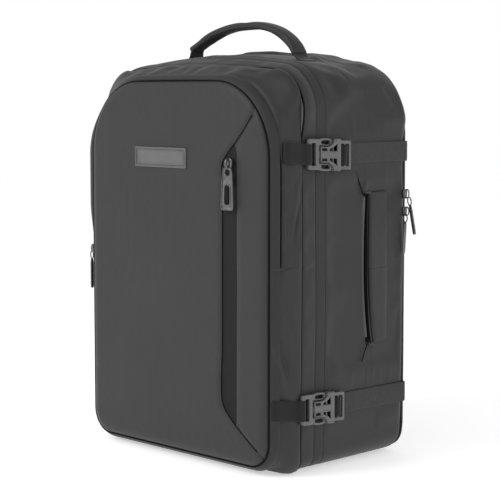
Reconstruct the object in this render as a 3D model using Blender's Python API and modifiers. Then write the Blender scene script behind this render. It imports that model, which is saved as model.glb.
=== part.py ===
"""Travel backpack: deep main shell, flapped front compartment, padded back door, straps and buckles.

Metres, +Z up. The front faces -Y, the wearer's back is at +Y, and +X is the side with the carry handle.
The origin is the middle of the base panel's underside.
"""

import math

import bmesh
import bpy
from mathutils import Matrix, Vector

GAP = 0.0003  # clearance between pieces that touch

# Main shell: a deep tray open at the back
SHELL_HALF_W = 0.176
SHELL_BOTTOM = 0.004
SHELL_TOP = 0.498
SHELL_FRONT = -0.075
SHELL_BACK = 0.108
SHELL_TOP_R = 0.058
SHELL_BOTTOM_R = 0.035
SHELL_WALL = 0.005
BAND_Y = (-0.052, -0.036)  # binding band round the shell
BAND_DEPTH = 0.002

# Front compartment: a gusset ring closed by the front panel
POCKET_HALF_W = 0.170
POCKET_TOP = 0.480
POCKET_TOP_R = 0.085
POCKET_BOTTOM_R = 0.032
POCKET_WALL = 0.008
GUSSET_FRONT = -0.100
PANEL_HALF_W = 0.163
PANEL_BOTTOM = 0.007
PANEL_TOP = 0.472
PANEL_TOP_R = 0.090
PANEL_BOTTOM_R = 0.028
PANEL_FRONT = -0.122
PANEL_THICK = 0.004
FLAP_LIP = -0.106  # how far back the flap's rim reaches
FOLD_Z = 0.250  # height of the fold where the U-zip ends

# Vertical quick-access zip on the front panel
QUICK_ZIP_X = (0.086, 0.110)
QUICK_ZIP_Z = (0.070, 0.370)
QUICK_SLIDER_X = 0.0995
QUICK_SLIDER_Z = 0.3725

# Stitched patch
PATCH_X = (-0.079, 0.018)
PATCH_Z = (0.364, 0.389)

# Back door
DOOR_HALF_W = 0.172
DOOR_BOTTOM = 0.010
DOOR_TOP = 0.492
DOOR_TOP_R = 0.060
DOOR_FRONT = 0.112
DOOR_BACK = 0.122
ZIP_RING_HALF_W = 0.175
ZIP_RING_WALL = 0.006
DOOR_HINGE_X = -0.177

# Shoulder straps, on the outside of the door
STRAP_TOP = (0.050, 0.455)
STRAP_END = (0.107, 0.176)
STRAP_HALF_W = (0.031, 0.018)
STRAP_THICK = 0.011
WEB_HALF = 0.0125  # half the width of 25 mm webbing
WEB_THICK = 0.0014

# Top handle
HANDLE_HALF_LENGTH = 0.1025
HANDLE_THICK = 0.011
HANDLE_HALF_W = 0.012
HANDLE_ROOT = 0.5015
HANDLE_TOP = 0.547
HANDLE_NECK_TOP = 0.518
HANDLE_NECK_HALF = 0.002

# Compression straps, one pair a side
STRAP_LEVELS = {"top": 0.384, "bottom": 0.079}
SIDES = {"right": 1, "left": -1}
PLUG_STARTS = {"top": -0.075, "bottom": -0.081}  # the plug's outer end, along Y
STUB_STARTS = {"top": -0.098, "bottom": -0.112}
REAR_WEB_END = 0.100
BUCKLE_HALF_W = 0.0195
PLUG_SHOULDER = 0.023  # from here on, all measured along the strap from the plug's outer end
PLUG_TIP = 0.046
SOCKET_MOUTH = 0.0245
SOCKET_SHOULDER = 0.043  # where its narrow neck between the arms widens
SOCKET_NECK_HALF = 0.010
SOCKET_THROAT = 0.060
SOCKET_END = 0.077
LADDER_SLOTS = (0.0617, 0.0685)
LADDER_SLOT_WIDTH = 0.0045

# Sliders and pulls
SLIDER_SIZE = (0.004, 0.008, 0.012)  # off the fabric, across the zip, along the zip
STICK_LENGTH = 0.045


def reset_scene():
    """Removes whatever the new file holds."""
    for item in list(bpy.data.objects):
        bpy.data.objects.remove(item, do_unlink=True)


def make_collection(name):
    """A new collection under the scene."""
    group = bpy.data.collections.new(name)
    bpy.context.scene.collection.children.link(group)
    return group


def make_material(name, colour, roughness, metallic=0.0):
    """One Principled material."""
    material = bpy.data.materials.new(name)
    material.use_nodes = True
    shader = material.node_tree.nodes["Principled BSDF"]
    shader.inputs["Base Color"].default_value = (*colour, 1.0)
    shader.inputs["Roughness"].default_value = roughness
    shader.inputs["Metallic"].default_value = metallic
    return material


reset_scene()
PARTS = make_collection("travel_backpack")
CUTTERS = make_collection("cutters")
COATED = make_material("coated_fabric", (0.075, 0.075, 0.078), 0.62)
WEBBING = make_material("webbing", (0.055, 0.055, 0.058), 0.80)
ZIP = make_material("zip_tape", (0.020, 0.020, 0.022), 0.70)
PLASTIC = make_material("buckle_plastic", (0.11, 0.11, 0.115), 0.42)
GUNMETAL = make_material("zip_metal", (0.13, 0.13, 0.14), 0.35, 0.85)
RUBBER = make_material("patch_rubber", (0.15, 0.15, 0.155), 0.50)
MESH = make_material("mesh_fabric", (0.045, 0.045, 0.048), 0.90)
LINING = make_material("lining", (0.10, 0.10, 0.105), 0.75)
BOARD = make_material("stiff_board", (0.03, 0.03, 0.03), 0.55)


def add_object(name, mesh, material, origin, group=None):
    """Links a mesh given in world coordinates, with its object origin at a chosen point."""
    origin = Vector(origin)
    mesh.transform(Matrix.Translation(-origin))
    mesh.name = name
    mesh.materials.clear()
    mesh.materials.append(material)
    piece = bpy.data.objects.new(name, mesh)
    piece.location = origin
    (group or PARTS).objects.link(piece)
    return piece


def box(name, low, high, material, origin=None, group=None):
    """A box between two corners."""
    low, high = Vector(low), Vector(high)
    middle = (low + high) / 2
    mesh = bpy.data.meshes.new(name)
    work = bmesh.new()
    bmesh.ops.create_cube(work, size=1.0)
    bmesh.ops.scale(work, vec=high - low, verts=work.verts)
    bmesh.ops.translate(work, vec=middle, verts=work.verts)
    work.to_mesh(mesh)
    work.free()
    return add_object(name, mesh, material, origin or middle, group)


# How a flat outline's local axes lie in the world: outline across, outline up, thickness
PLANES = {
    "XZ": Matrix(((1, 0, 0), (0, 0, -1), (0, 1, 0))).to_4x4(),
    "YZ": Matrix(((0, 0, 1), (1, 0, 0), (0, 1, 0))).to_4x4(),
}


def plate(name, points, plane, low, high, material, origin=None, group=None):
    """A flat outline with a thickness: in XZ it spans low..high along Y, in YZ along X."""
    curve = bpy.data.curves.new(name, "CURVE")
    curve.dimensions = "2D"
    curve.fill_mode = "BOTH"
    curve.extrude = (high - low) / 2
    spline = curve.splines.new("POLY")
    spline.points.add(len(points) - 1)
    for point, (across, up) in zip(spline.points, points):
        point.co = (across, up, 0.0, 1.0)
    spline.use_cyclic_u = True
    flat = bpy.data.objects.new(name + "_outline", curve)
    PARTS.objects.link(flat)
    graph = bpy.context.evaluated_depsgraph_get()
    mesh = bpy.data.meshes.new_from_object(flat.evaluated_get(graph))
    bpy.data.objects.remove(flat, do_unlink=True)
    bpy.data.curves.remove(curve)
    work = bmesh.new()
    work.from_mesh(mesh)
    bmesh.ops.remove_doubles(work, verts=work.verts, dist=0.00001)
    bmesh.ops.recalc_face_normals(work, faces=work.faces)
    work.to_mesh(mesh)
    work.free()
    mesh.transform(PLANES[plane])
    middle = (low + high) / 2
    shift = Vector((0, middle, 0)) if plane == "XZ" else Vector((middle, 0, 0))
    mesh.transform(Matrix.Translation(shift))
    if origin is None:
        corners = [vertex.co for vertex in mesh.vertices]
        origin = sum(corners, Vector()) / len(corners)
    return add_object(name, mesh, material, origin, group)


def arc(centre, radius, start, end, steps=6):
    """Points on an arc, angles in degrees."""
    points = []
    for step in range(steps + 1):
        angle = math.radians(start + (end - start) * step / steps)
        points.append((centre[0] + radius * math.cos(angle), centre[1] + radius * math.sin(angle)))
    return points


def outline(half_w, bottom, top, top_r, bottom_r, inset=0.0):
    """A rectangle with round corners, larger at the top, made smaller by inset."""
    half_w, bottom, top = half_w - inset, bottom + inset, top - inset
    top_r, bottom_r = top_r - inset, bottom_r - inset
    return (
        arc((half_w - top_r, top - top_r), top_r, 0, 90)
        + arc((-half_w + top_r, top - top_r), top_r, 90, 180)
        + arc((-half_w + bottom_r, bottom + bottom_r), bottom_r, 180, 270, 4)
        + arc((half_w - bottom_r, bottom + bottom_r), bottom_r, 270, 360, 4)
    )


def cut(piece, cutter):
    """Takes the cutter's shape out of a piece."""
    cutter.hide_render = True
    cutter.display_type = "WIRE"
    modifier = piece.modifiers.new("cut_" + cutter.name, "BOOLEAN")
    modifier.operation = "DIFFERENCE"
    modifier.object = cutter


def round_edges(piece, width, segments=2):
    """Bevels the sharp edges."""
    modifier = piece.modifiers.new("round", "BEVEL")
    modifier.width = width
    modifier.segments = segments
    modifier.limit_method = "ANGLE"
    modifier.angle_limit = math.radians(40)


def cutter_box(name, low, high):
    """A box kept with the cutters."""
    return box(name, low, high, BOARD, group=CUTTERS)


def cutter_plate(name, points, plane, low, high):
    """A plate kept with the cutters."""
    return plate(name, points, plane, low, high, BOARD, group=CUTTERS)


def axis_empty(name, location, pieces):
    """An empty on a joint's axis, with the pieces that turn or slide with it as its children."""
    empty = bpy.data.objects.new(name, None)
    empty.empty_display_size = 0.02
    empty.location = location
    PARTS.objects.link(empty)
    for piece in pieces:
        piece.parent = empty
        piece.matrix_parent_inverse = Matrix.Translation(-Vector(location))
    return empty


def shell_outline(inset=0.0):
    return outline(SHELL_HALF_W, SHELL_BOTTOM, SHELL_TOP, SHELL_TOP_R, SHELL_BOTTOM_R, inset)


def pocket_outline(inset=0.0):
    return outline(POCKET_HALF_W, 0.0, POCKET_TOP, POCKET_TOP_R, POCKET_BOTTOM_R, inset)


def panel_outline(inset=0.0):
    return outline(PANEL_HALF_W, PANEL_BOTTOM, PANEL_TOP, PANEL_TOP_R, PANEL_BOTTOM_R, inset)


def build_main_shell():
    """The deep tray, its binding band, base panel, skid strips and laptop sleeve."""
    shell = plate("main_shell", shell_outline(), "XZ", SHELL_FRONT, SHELL_BACK, COATED)
    round_edges(shell, 0.004)
    inner_front = SHELL_FRONT + SHELL_WALL
    cut(shell, cutter_plate("main_space", shell_outline(SHELL_WALL), "XZ", inner_front, SHELL_BACK + 0.02))

    low, high = BAND_Y
    groove = cutter_plate("band_groove", shell_outline(-0.01), "XZ", low - GAP, high + GAP)
    cut(groove, cutter_plate("groove_floor", shell_outline(BAND_DEPTH + GAP), "XZ", low - 0.01, high + 0.01))
    cut(shell, groove)
    band = plate("binding_band", shell_outline(), "XZ", low, high, COATED)
    cut(band, cutter_plate("band_inside", shell_outline(BAND_DEPTH), "XZ", low - 0.01, high + 0.01))

    under = SHELL_BOTTOM - GAP
    box("base_panel", (-0.135, -0.035, 0.0), (0.135, 0.094, under), COATED, origin=(0, 0, 0))
    for name, side in SIDES.items():
        ends = sorted((side * 0.050, side * 0.135))
        box("skid_strip_" + name, (ends[0], 0.0965, 0.0), (ends[1], 0.1045, under), PLASTIC)
    sleeve_front = inner_front + 0.001
    sleeve = box("laptop_sleeve", (-0.135, sleeve_front, 0.012), (0.135, sleeve_front + 0.006, 0.360), LINING)
    round_edges(sleeve, 0.002, 1)


def build_front_compartment():
    """The gusset ring, the U-zip, the sewn lower panel and the flap above the fold."""
    gusset = plate("front_pocket_gusset", pocket_outline(), "XZ", GUSSET_FRONT, SHELL_FRONT - GAP, COATED)
    through = (PANEL_FRONT - 0.02, SHELL_FRONT + 0.02)
    cut(gusset, cutter_plate("pocket_space", pocket_outline(POCKET_WALL), "XZ", *through))

    tape_back = GUSSET_FRONT - GAP
    tape = plate("front_zip_tape", pocket_outline(0.002), "XZ", FLAP_LIP + GAP, tape_back, ZIP)
    cut(tape, cutter_plate("tape_space", pocket_outline(POCKET_WALL), "XZ", *through))
    below = cutter_box("below_fold", (-0.3, -0.2, -0.1), (0.3, 0.0, FOLD_Z + GAP))
    cut(tape, below)

    above = cutter_box("above_fold", (-0.3, -0.2, FOLD_Z), (0.3, 0.0, 0.6))
    depths = {"front_panel_upper": (FLAP_LIP, below), "front_panel_lower": (tape_back, above)}
    panels = {}
    for name, (rim, half) in depths.items():
        panel = plate(name, panel_outline(), "XZ", PANEL_FRONT, rim, COATED)
        round_edges(panel, 0.003)
        hollow_front = PANEL_FRONT + PANEL_THICK
        cut(panel, cutter_plate(name + "_space", panel_outline(PANEL_THICK), "XZ", hollow_front, rim + 0.02))
        cut(panel, half)
        panels[name] = panel

    zip_front = PANEL_FRONT - GAP - 0.0015
    zip_back = PANEL_FRONT - GAP
    left, right = QUICK_ZIP_X
    low, high = QUICK_ZIP_Z
    upper_zip = box("quick_zip_upper", (left, zip_front, FOLD_Z + 0.001), (right, zip_back, high), ZIP)
    box("quick_zip_lower", (left, zip_front, low), (right, zip_back, FOLD_Z - 0.001), ZIP)
    patch = box("badge_patch", (PATCH_X[0], zip_front, PATCH_Z[0]), (PATCH_X[1], zip_back, PATCH_Z[1]), RUBBER)
    round_edges(patch, 0.0004, 1)
    fold = (0.0, PANEL_FRONT - 0.002, FOLD_Z)
    axis_empty("front_flap_axis", fold, [panels["front_panel_upper"], upper_zip, patch])


def build_quick_slider():
    """The slider of the vertical zip and its wide slotted pull."""
    back = PANEL_FRONT - GAP - 0.0015 - GAP
    front = back - SLIDER_SIZE[0]
    x, z = QUICK_SLIDER_X, QUICK_SLIDER_Z
    half = SLIDER_SIZE[2] / 2
    slider = box("quick_slider", (x - 0.0055, front, z - half), (x + 0.0055, back, z + half), GUNMETAL)
    round_edges(slider, 0.0012, 1)
    pull_top = z - half - 0.0015
    pull_y = front + 0.0016
    width, length = 0.010, 0.048
    pull = box(
        "quick_pull",
        (x - width, pull_y - 0.001, pull_top - length),
        (x + width, pull_y + 0.001, pull_top),
        PLASTIC,
        origin=(x, pull_y, pull_top),
    )
    slot_low, slot_high = pull_top - 0.040, pull_top - 0.012
    cut(pull, cutter_box("quick_pull_slot", (x - 0.0045, -0.2, slot_low), (x + 0.0045, 0.0, slot_high)))
    axis_empty("quick_slider_axis", (x, back, z), [slider])


def build_side_slider(name, side, x_inner, y, z, stand_off, shift, tilt):
    """A slider on a side of the bag with a stick pull that hangs from it, shifted along Y, tilted outward."""
    depth, across, along = SLIDER_SIZE
    ends = sorted((side * x_inner, side * (x_inner + depth)))
    slider = box(
        name + "_slider",
        (ends[0], y - across / 2, z - along / 2),
        (ends[1], y + across / 2, z + along / 2),
        GUNMETAL,
    )
    round_edges(slider, 0.0012, 1)
    pivot = Vector((side * (x_inner + stand_off), y + shift, z - along / 2 - 0.0016))
    pull = box(
        name + "_pull",
        pivot + Vector((-0.001, -0.002, -STICK_LENGTH)),
        pivot + Vector((0.001, 0.002, 0.0)),
        GUNMETAL,
        origin=pivot,
    )
    pull.rotation_euler = (0.0, -side * math.radians(tilt), 0.0)
    round_edges(pull, 0.0006, 1)


def build_sliders():
    """Every zip slider and its pull."""
    build_quick_slider()
    build_side_slider("compartment", -1, POCKET_HALF_W + 0.0005, -0.1035, FOLD_Z, 0.0025, 0.0, 0)
    build_side_slider("main_upper", 1, SHELL_HALF_W + 0.0005, 0.1075, 0.330, 0.0060, 0.0025, 13)
    build_side_slider("main_lower", 1, SHELL_HALF_W + 0.0005, 0.1075, 0.308, 0.0025, -0.0025, 0)


def smooth(t):
    """Eases 0..1."""
    return t * t * (3 - 2 * t)


def strap_outline(side, steps=10):
    """The curved outline of a shoulder strap seen from behind."""
    outer, inner = [], []
    for step in range(steps + 1):
        t = step / steps
        x = STRAP_TOP[0] + (STRAP_END[0] - STRAP_TOP[0]) * smooth(t)
        z = STRAP_TOP[1] + (STRAP_END[1] - STRAP_TOP[1]) * t
        half = STRAP_HALF_W[0] + (STRAP_HALF_W[1] - STRAP_HALF_W[0]) * smooth(t)
        outer.append((side * (x + half), z))
        inner.append((side * (x - half), z))
    return outer + inner[::-1]


def build_back_door():
    """The zip ring, the padded panel with its frame sheet, and the shoulder straps."""
    ring_outline = outline(ZIP_RING_HALF_W, SHELL_BOTTOM, SHELL_TOP - 0.001, SHELL_TOP_R, SHELL_BOTTOM_R)
    ring = plate("main_zip_tape", ring_outline, "XZ", SHELL_BACK + GAP, DOOR_FRONT - GAP, ZIP)
    inner = outline(ZIP_RING_HALF_W, SHELL_BOTTOM, SHELL_TOP, SHELL_TOP_R, SHELL_BOTTOM_R, ZIP_RING_WALL)
    cut(ring, cutter_plate("zip_ring_space", inner, "XZ", SHELL_BACK - 0.02, DOOR_FRONT + 0.02))

    door_outline = outline(DOOR_HALF_W, DOOR_BOTTOM, DOOR_TOP, DOOR_TOP_R, SHELL_BOTTOM_R)
    door = plate("back_panel", door_outline, "XZ", DOOR_FRONT, DOOR_BACK, MESH)
    round_edges(door, 0.003)
    sheet_outline = outline(0.125, 0.050, 0.440, 0.030, 0.030)
    sheet = plate("frame_sheet", sheet_outline, "XZ", DOOR_FRONT - GAP - 0.0018, DOOR_FRONT - GAP, BOARD)
    hung = [door, sheet]

    face = DOOR_BACK + GAP
    lock_x, lock_top = STRAP_END[0], STRAP_END[1] - 0.001
    for name, side in SIDES.items():
        x = side * lock_x
        low, high = (x - WEB_HALF, face, 0.045), (x + WEB_HALF, face + WEB_THICK, 0.1485)
        hung.append(box("lower_webbing_" + name, low, high, WEBBING))
        strap_face = face + WEB_THICK
        pad = plate("shoulder_strap_" + name, strap_outline(side), "XZ", strap_face, strap_face + STRAP_THICK, MESH)
        round_edges(pad, 0.003)
        lock = box(
            "strap_adjuster_" + name,
            (x - 0.0165, strap_face, lock_top - 0.025),
            (x + 0.0165, strap_face + 0.005, lock_top),
            PLASTIC,
        )
        slot = cutter_box(
            "adjuster_slot_" + name, (x - 0.013, 0.0, lock_top - 0.018), (x + 0.013, 0.3, lock_top - 0.008)
        )
        cut(lock, slot)
        axis_empty("shoulder_axis_" + name, (side * STRAP_TOP[0], strap_face, STRAP_TOP[1]), [pad, lock])
    axis_empty("back_door_axis", (DOOR_HINGE_X, DOOR_FRONT - GAP, 0.25), hung)


def arch(half_length, rise, steps=18):
    """Points of a flattened arch from its right foot to its left foot."""
    points = []
    fullness = 2.0 / 2.3
    for step in range(steps + 1):
        angle = math.pi * step / steps
        x = math.copysign(abs(math.cos(angle)) ** fullness, math.cos(angle))
        points.append((half_length * x, HANDLE_ROOT + rise * abs(math.sin(angle)) ** fullness))
    return points


def build_handles():
    """The top handle with its sewn tabs, and the strip handle on the right side."""
    rise = HANDLE_TOP - HANDLE_ROOT
    outer = arch(HANDLE_HALF_LENGTH, rise)
    inner = arch(HANDLE_HALF_LENGTH - HANDLE_THICK, rise - HANDLE_THICK)
    axis = (0.0, 0.0, HANDLE_ROOT - 0.0005)
    loop = outer + inner[::-1]
    handle = plate("top_handle", loop, "XZ", -HANDLE_HALF_W, HANDLE_HALF_W, WEBBING, origin=axis)
    for name, side in (("front", -1), ("rear", 1)):
        ends = sorted((side * HANDLE_NECK_HALF, side * 0.03))
        neck = cutter_box("neck_" + name, (-0.2, ends[0], 0.45), (0.2, ends[1], HANDLE_NECK_TOP))
        cut(handle, neck)
    for name, side in SIDES.items():
        ends = sorted((side * 0.086, side * 0.108))
        tab_top = SHELL_TOP + GAP + 0.0012
        box("handle_tab_" + name, (ends[0], -0.015, SHELL_TOP + GAP), (ends[1], 0.015, tab_top), WEBBING)

    side_x = SHELL_HALF_W + GAP
    strip = box("side_handle", (side_x, 0.050, 0.148), (side_x + 0.0035, 0.074, 0.335), COATED)
    round_edges(strip, 0.001, 1)


def strap_box(name, side, spot, along, across, off, material):
    """A box on a side strap at spot (plug's end, height): along Y, across in Z and off the fabric in X."""
    start, z = spot
    x = sorted((side * (SHELL_HALF_W + off[0]), side * (SHELL_HALF_W + off[1])))
    low = (x[0], start + along[0], z + across[0])
    high = (x[1], start + along[1], z + across[1])
    return box(name, low, high, material)


def strap_plate(name, side, spot, points, off, origin=None):
    """A flat moulding on a side strap, from points along and across it."""
    start, z = spot
    x = sorted((side * (SHELL_HALF_W + off[0]), side * (SHELL_HALF_W + off[1])))
    placed = [(start + along, z + across) for along, across in points]
    return plate(name, placed, "YZ", x[0], x[1], PLASTIC, origin=origin)


def strap_cutter(name, side, spot, along, across, off):
    """A cutter in the same terms as strap_box."""
    piece = strap_box(name, side, spot, along, across, off, BOARD)
    PARTS.objects.unlink(piece)
    CUTTERS.objects.link(piece)
    return piece


def build_plug(tag, side, spot):
    """The plug half: a webbing frame, a shoulder, and a centre tongue."""
    half = BUCKLE_HALF_W - 0.001
    tongue = 0.0035
    profile = [
        (0.0, -half),
        (PLUG_SHOULDER, -half),
        (PLUG_SHOULDER, -tongue),
        (PLUG_TIP, -tongue),
        (PLUG_TIP, tongue),
        (PLUG_SHOULDER, tongue),
        (PLUG_SHOULDER, half),
        (0.0, half),
    ]
    plug = strap_plate("plug_" + tag, side, spot, profile, (0.0035, 0.0078))
    cut(plug, strap_cutter("plug_slot_" + tag, side, spot, (0.0055, 0.0145), (-0.0135, 0.0135), (-0.01, 0.03)))


def build_arm(tag, side, spot, hand):
    """One squeeze arm of the plug, hinged where it leaves the shoulder."""
    root = PLUG_SHOULDER + 0.0007
    profile = [
        (root, 0.0065),
        (root, 0.0105),
        (0.0270, 0.0165),
        (0.0295, 0.0185),
        (0.0375, 0.0185),
        (0.0390, 0.0152),
        (0.0460, 0.0127),
        (0.0470, 0.0085),
    ]
    points = [(along, hand * across) for along, across in profile]
    pivot = (side * (SHELL_HALF_W + 0.005), spot[0] + root, spot[1] + hand * 0.0085)
    name = "plug_arm_" + tag + ("_upper" if hand > 0 else "_lower")
    strap_plate(name, side, spot, points, (0.0036, 0.0076), origin=pivot)


def build_socket(tag, side, spot):
    """The socket half: a hollow mouth for the arms and a frame for the long webbing."""
    half = BUCKLE_HALF_W
    taper = half - 0.001
    profile = [
        (SOCKET_MOUTH, -SOCKET_NECK_HALF),
        (SOCKET_SHOULDER, -SOCKET_NECK_HALF),
        (SOCKET_SHOULDER, -half),
        (SOCKET_END, -taper),
        (SOCKET_END, taper),
        (SOCKET_SHOULDER, half),
        (SOCKET_SHOULDER, SOCKET_NECK_HALF),
        (SOCKET_MOUTH, SOCKET_NECK_HALF),
    ]
    socket = strap_plate("socket_" + tag, side, spot, profile, (0.0020, 0.0100))
    round_edges(socket, 0.0012, 1)
    hollow = (SOCKET_MOUTH - 0.01, SOCKET_THROAT - 0.003)
    cut(socket, strap_cutter("socket_cavity_" + tag, side, spot, hollow, (-0.0165, 0.0165), (0.0030, 0.0085)))
    for number, start in enumerate(LADDER_SLOTS):
        slot_span = (start, start + LADDER_SLOT_WIDTH)
        name = f"ladder_slot_{tag}_{number}"
        cut(socket, strap_cutter(name, side, spot, slot_span, (-0.0135, 0.0135), (-0.01, 0.03)))


def build_compression_straps():
    """A stub with the plug at the front and the long webbing with the socket behind it, four times."""
    web_off = (GAP, GAP + WEB_THICK)
    across = (-WEB_HALF, WEB_HALF)
    for level, z in STRAP_LEVELS.items():
        for side_name, side in SIDES.items():
            tag = level + "_" + side_name
            start = PLUG_STARTS[level]
            spot = (start, z)
            stub_span = (STUB_STARTS[level] - start, 0.010)
            strap_box("stub_webbing_" + tag, side, spot, stub_span, across, web_off, WEBBING)
            rear_span = (SOCKET_THROAT, REAR_WEB_END - start)
            strap_box("rear_webbing_" + tag, side, spot, rear_span, across, web_off, WEBBING)
            build_plug(tag, side, spot)
            for hand in (1, -1):
                build_arm(tag, side, spot, hand)
            build_socket(tag, side, spot)


build_main_shell()
build_front_compartment()
build_sliders()
build_back_door()
build_handles()
build_compression_straps()
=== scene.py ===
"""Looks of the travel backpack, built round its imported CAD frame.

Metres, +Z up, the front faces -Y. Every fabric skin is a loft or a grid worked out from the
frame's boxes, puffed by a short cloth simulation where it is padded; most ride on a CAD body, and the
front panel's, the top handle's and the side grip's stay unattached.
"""

import math
from collections import namedtuple

import bmesh
import bpy
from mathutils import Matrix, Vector, noise


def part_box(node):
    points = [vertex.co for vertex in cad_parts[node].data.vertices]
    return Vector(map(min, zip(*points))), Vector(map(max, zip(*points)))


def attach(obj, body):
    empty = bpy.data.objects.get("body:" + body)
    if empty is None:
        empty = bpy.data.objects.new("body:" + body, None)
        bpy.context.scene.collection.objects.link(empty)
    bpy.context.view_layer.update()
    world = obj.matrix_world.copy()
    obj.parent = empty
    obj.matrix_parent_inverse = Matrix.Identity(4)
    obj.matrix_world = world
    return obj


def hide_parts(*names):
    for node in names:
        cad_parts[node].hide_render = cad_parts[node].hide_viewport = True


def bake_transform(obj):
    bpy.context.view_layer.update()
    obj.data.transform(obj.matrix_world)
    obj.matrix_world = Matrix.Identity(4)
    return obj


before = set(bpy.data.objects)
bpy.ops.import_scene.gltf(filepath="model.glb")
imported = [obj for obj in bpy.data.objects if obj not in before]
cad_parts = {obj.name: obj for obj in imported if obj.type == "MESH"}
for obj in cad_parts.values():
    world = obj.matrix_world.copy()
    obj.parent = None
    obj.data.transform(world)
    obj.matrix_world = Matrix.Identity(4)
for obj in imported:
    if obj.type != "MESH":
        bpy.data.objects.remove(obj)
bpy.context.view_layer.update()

# Planes and levels read from the frame
SHELL_LOW, SHELL_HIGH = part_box("main_shell")
GUSSET_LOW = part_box("front_pocket_gusset")[0]
FOLD_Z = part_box("front_panel_lower")[1].z  # the flap turns down at this level
BAND_LOW, BAND_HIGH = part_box("binding_band")
SIDES = {"right": 1, "left": -1}
WEB_HALF = 0.0125  # half the width of 25 mm webbing
STRAP_LEVELS = {"top": 0.384, "bottom": 0.079}

# Outlines in XZ: half width, base, top, corner radii, and how far the top falls at x, as crown * x^2
Shape = namedtuple("Shape", "half_w bottom top top_r bottom_r crown")
PANEL = Shape(0.1640, 0.0110, 0.4705, 0.090, 0.030, 0.10)
LIP = Shape(0.1710, 0.0050, 0.4780, 0.092, 0.036, 0.10)
SEAM_Y = -0.1170  # where the front panel is sewn to the band round it
LIP_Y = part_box("front_panel_upper")[1].y  # the flap's free edge
JOIN_Y = SHELL_LOW.y  # where the gusset is sewn to the main shell
REAR_Y = SHELL_HIGH.y

# Points round an outline, per half
BASE_STEPS, LOW_CORNER, SIDE_STEPS, HIGH_CORNER, TOP_STEPS = 12, 9, 20, 13, 14
FOLD_STEPS, FOLD_REACH = 4, 0.003


def smooth(t):
    """Eases 0..1, and holds outside it."""
    t = min(max(t, 0.0), 1.0)
    return t * t * (3 - 2 * t)


def bell(t):
    """0 at both ends of 0..1, 1 in the middle."""
    return math.sin(math.pi * min(max(t, 0.0), 1.0))


def mix(a, b, t):
    """The value a fraction t of the way from a to b."""
    return a + (b - a) * t


def track(keys, at):
    """A smooth curve through (position, value) keys, held flat beyond its ends."""
    if at <= keys[0][0]:
        return keys[0][1]
    for i in range(len(keys) - 1):
        (x0, v0), (x1, v1) = keys[i], keys[i + 1]
        if at <= x1:
            before, after = keys[max(i - 1, 0)], keys[min(i + 2, len(keys) - 1)]
            span = x1 - x0
            m0 = (v1 - before[1]) / (x1 - before[0]) * span
            m1 = (after[1] - v0) / (after[0] - x0) * span
            t = (at - x0) / span
            h = t * t * (3 - 2 * t)
            return v0 * (1 - h) + v1 * h + m0 * t * (1 - t) ** 2 - m1 * t * t * (1 - t)
    return keys[-1][1]


def wave(point, scale, seed=0.0):
    """Soft noise from -1 to 1."""
    return noise.noise(Vector(point) * scale + Vector((seed, seed * 1.7, -seed)))


# ---------------------------------------------------------------- outlines and lofts


def spread(low, high, steps):
    """Values from low up to, and without, high."""
    return [mix(low, high, k / steps) for k in range(steps)]


def half_rim(s):
    """(x, z, normal x, normal z) from the middle of the base up the right side to the middle of the top."""
    run = [(x, s.bottom, 0.0, -1.0) for x in spread(0.0, s.half_w - s.bottom_r, BASE_STEPS)]

    def corner(radius, centre_z, start, steps):
        for angle in spread(start, start + 90.0, steps):
            c, n = math.cos(math.radians(angle)), math.sin(math.radians(angle))
            run.append((s.half_w - radius + radius * c, centre_z + radius * n, c, n))

    corner(s.bottom_r, s.bottom + s.bottom_r, -90.0, LOW_CORNER)
    low, high = s.bottom + s.bottom_r, s.top - s.top_r
    levels = spread(low, FOLD_Z - FOLD_REACH, SIDE_STEPS)
    levels += spread(FOLD_Z - FOLD_REACH, FOLD_Z + FOLD_REACH, FOLD_STEPS)
    levels += spread(FOLD_Z + FOLD_REACH, high, SIDE_STEPS)
    run += [(s.half_w, z, 1.0, 0.0) for z in levels]
    corner(s.top_r, high, 0.0, HIGH_CORNER)
    run += [(x, s.top, 0.0, 1.0) for x in spread(s.half_w - s.top_r, 0.0, TOP_STEPS)]
    run.append((0.0, s.top, 0.0, 1.0))
    middle = (s.bottom + s.top) / 2
    return [(x, z - s.crown * x * x * smooth((z - middle) / (s.top - middle)), a, b) for x, z, a, b in run]


def rim(s):
    """The whole outline, mirrored, as one closed run."""
    right = half_rim(s)
    return right + [(-x, z, -a, b) for x, z, a, b in right[-2:0:-1]]


def ring(s, y, out=0.0):
    """One ring of points. y and out, the distance off the outline, are numbers or functions of (x, z)."""
    points = []
    for x, z, nx, nz in rim(s):
        off = out(x, z) if callable(out) else out
        depth = y(x, z) if callable(y) else y
        points.append(Vector((x + nx * off, depth, z + nz * off)))
    return points


def grid_faces(rows, columns, closed):
    """Quads between rows of points."""
    faces = []
    for r in range(rows - 1):
        for c in range(columns if closed else columns - 1):
            d = (c + 1) % columns
            faces.append((r * columns + c, r * columns + d, (r + 1) * columns + d, (r + 1) * columns + c))
    return faces


def add_mesh(name, points, faces, material):
    """An object from points in the frame's metres."""
    mesh = bpy.data.meshes.new(name)
    mesh.from_pydata([tuple(p) for p in points], [], faces)
    mesh.update()
    mesh.shade_smooth()
    mesh.materials.append(material)
    piece = bpy.data.objects.new(name, mesh)
    bpy.context.scene.collection.objects.link(piece)
    return piece


def loft(name, rows, material, closed=True):
    """A skin through rows of equal length."""
    points = [p for row in rows for p in row]
    return add_mesh(name, points, grid_faces(len(rows), len(rows[0]), closed), material)


def modifier(piece, kind, **values):
    """Adds a modifier with its settings."""
    added = piece.modifiers.new(kind.lower(), kind)
    for key, value in values.items():
        setattr(added, key, value)
    return added


def subdivide(piece):
    """Rounds a skin by one level of subdivision."""
    modifier(piece, "SUBSURF", levels=1, render_levels=1)


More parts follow.
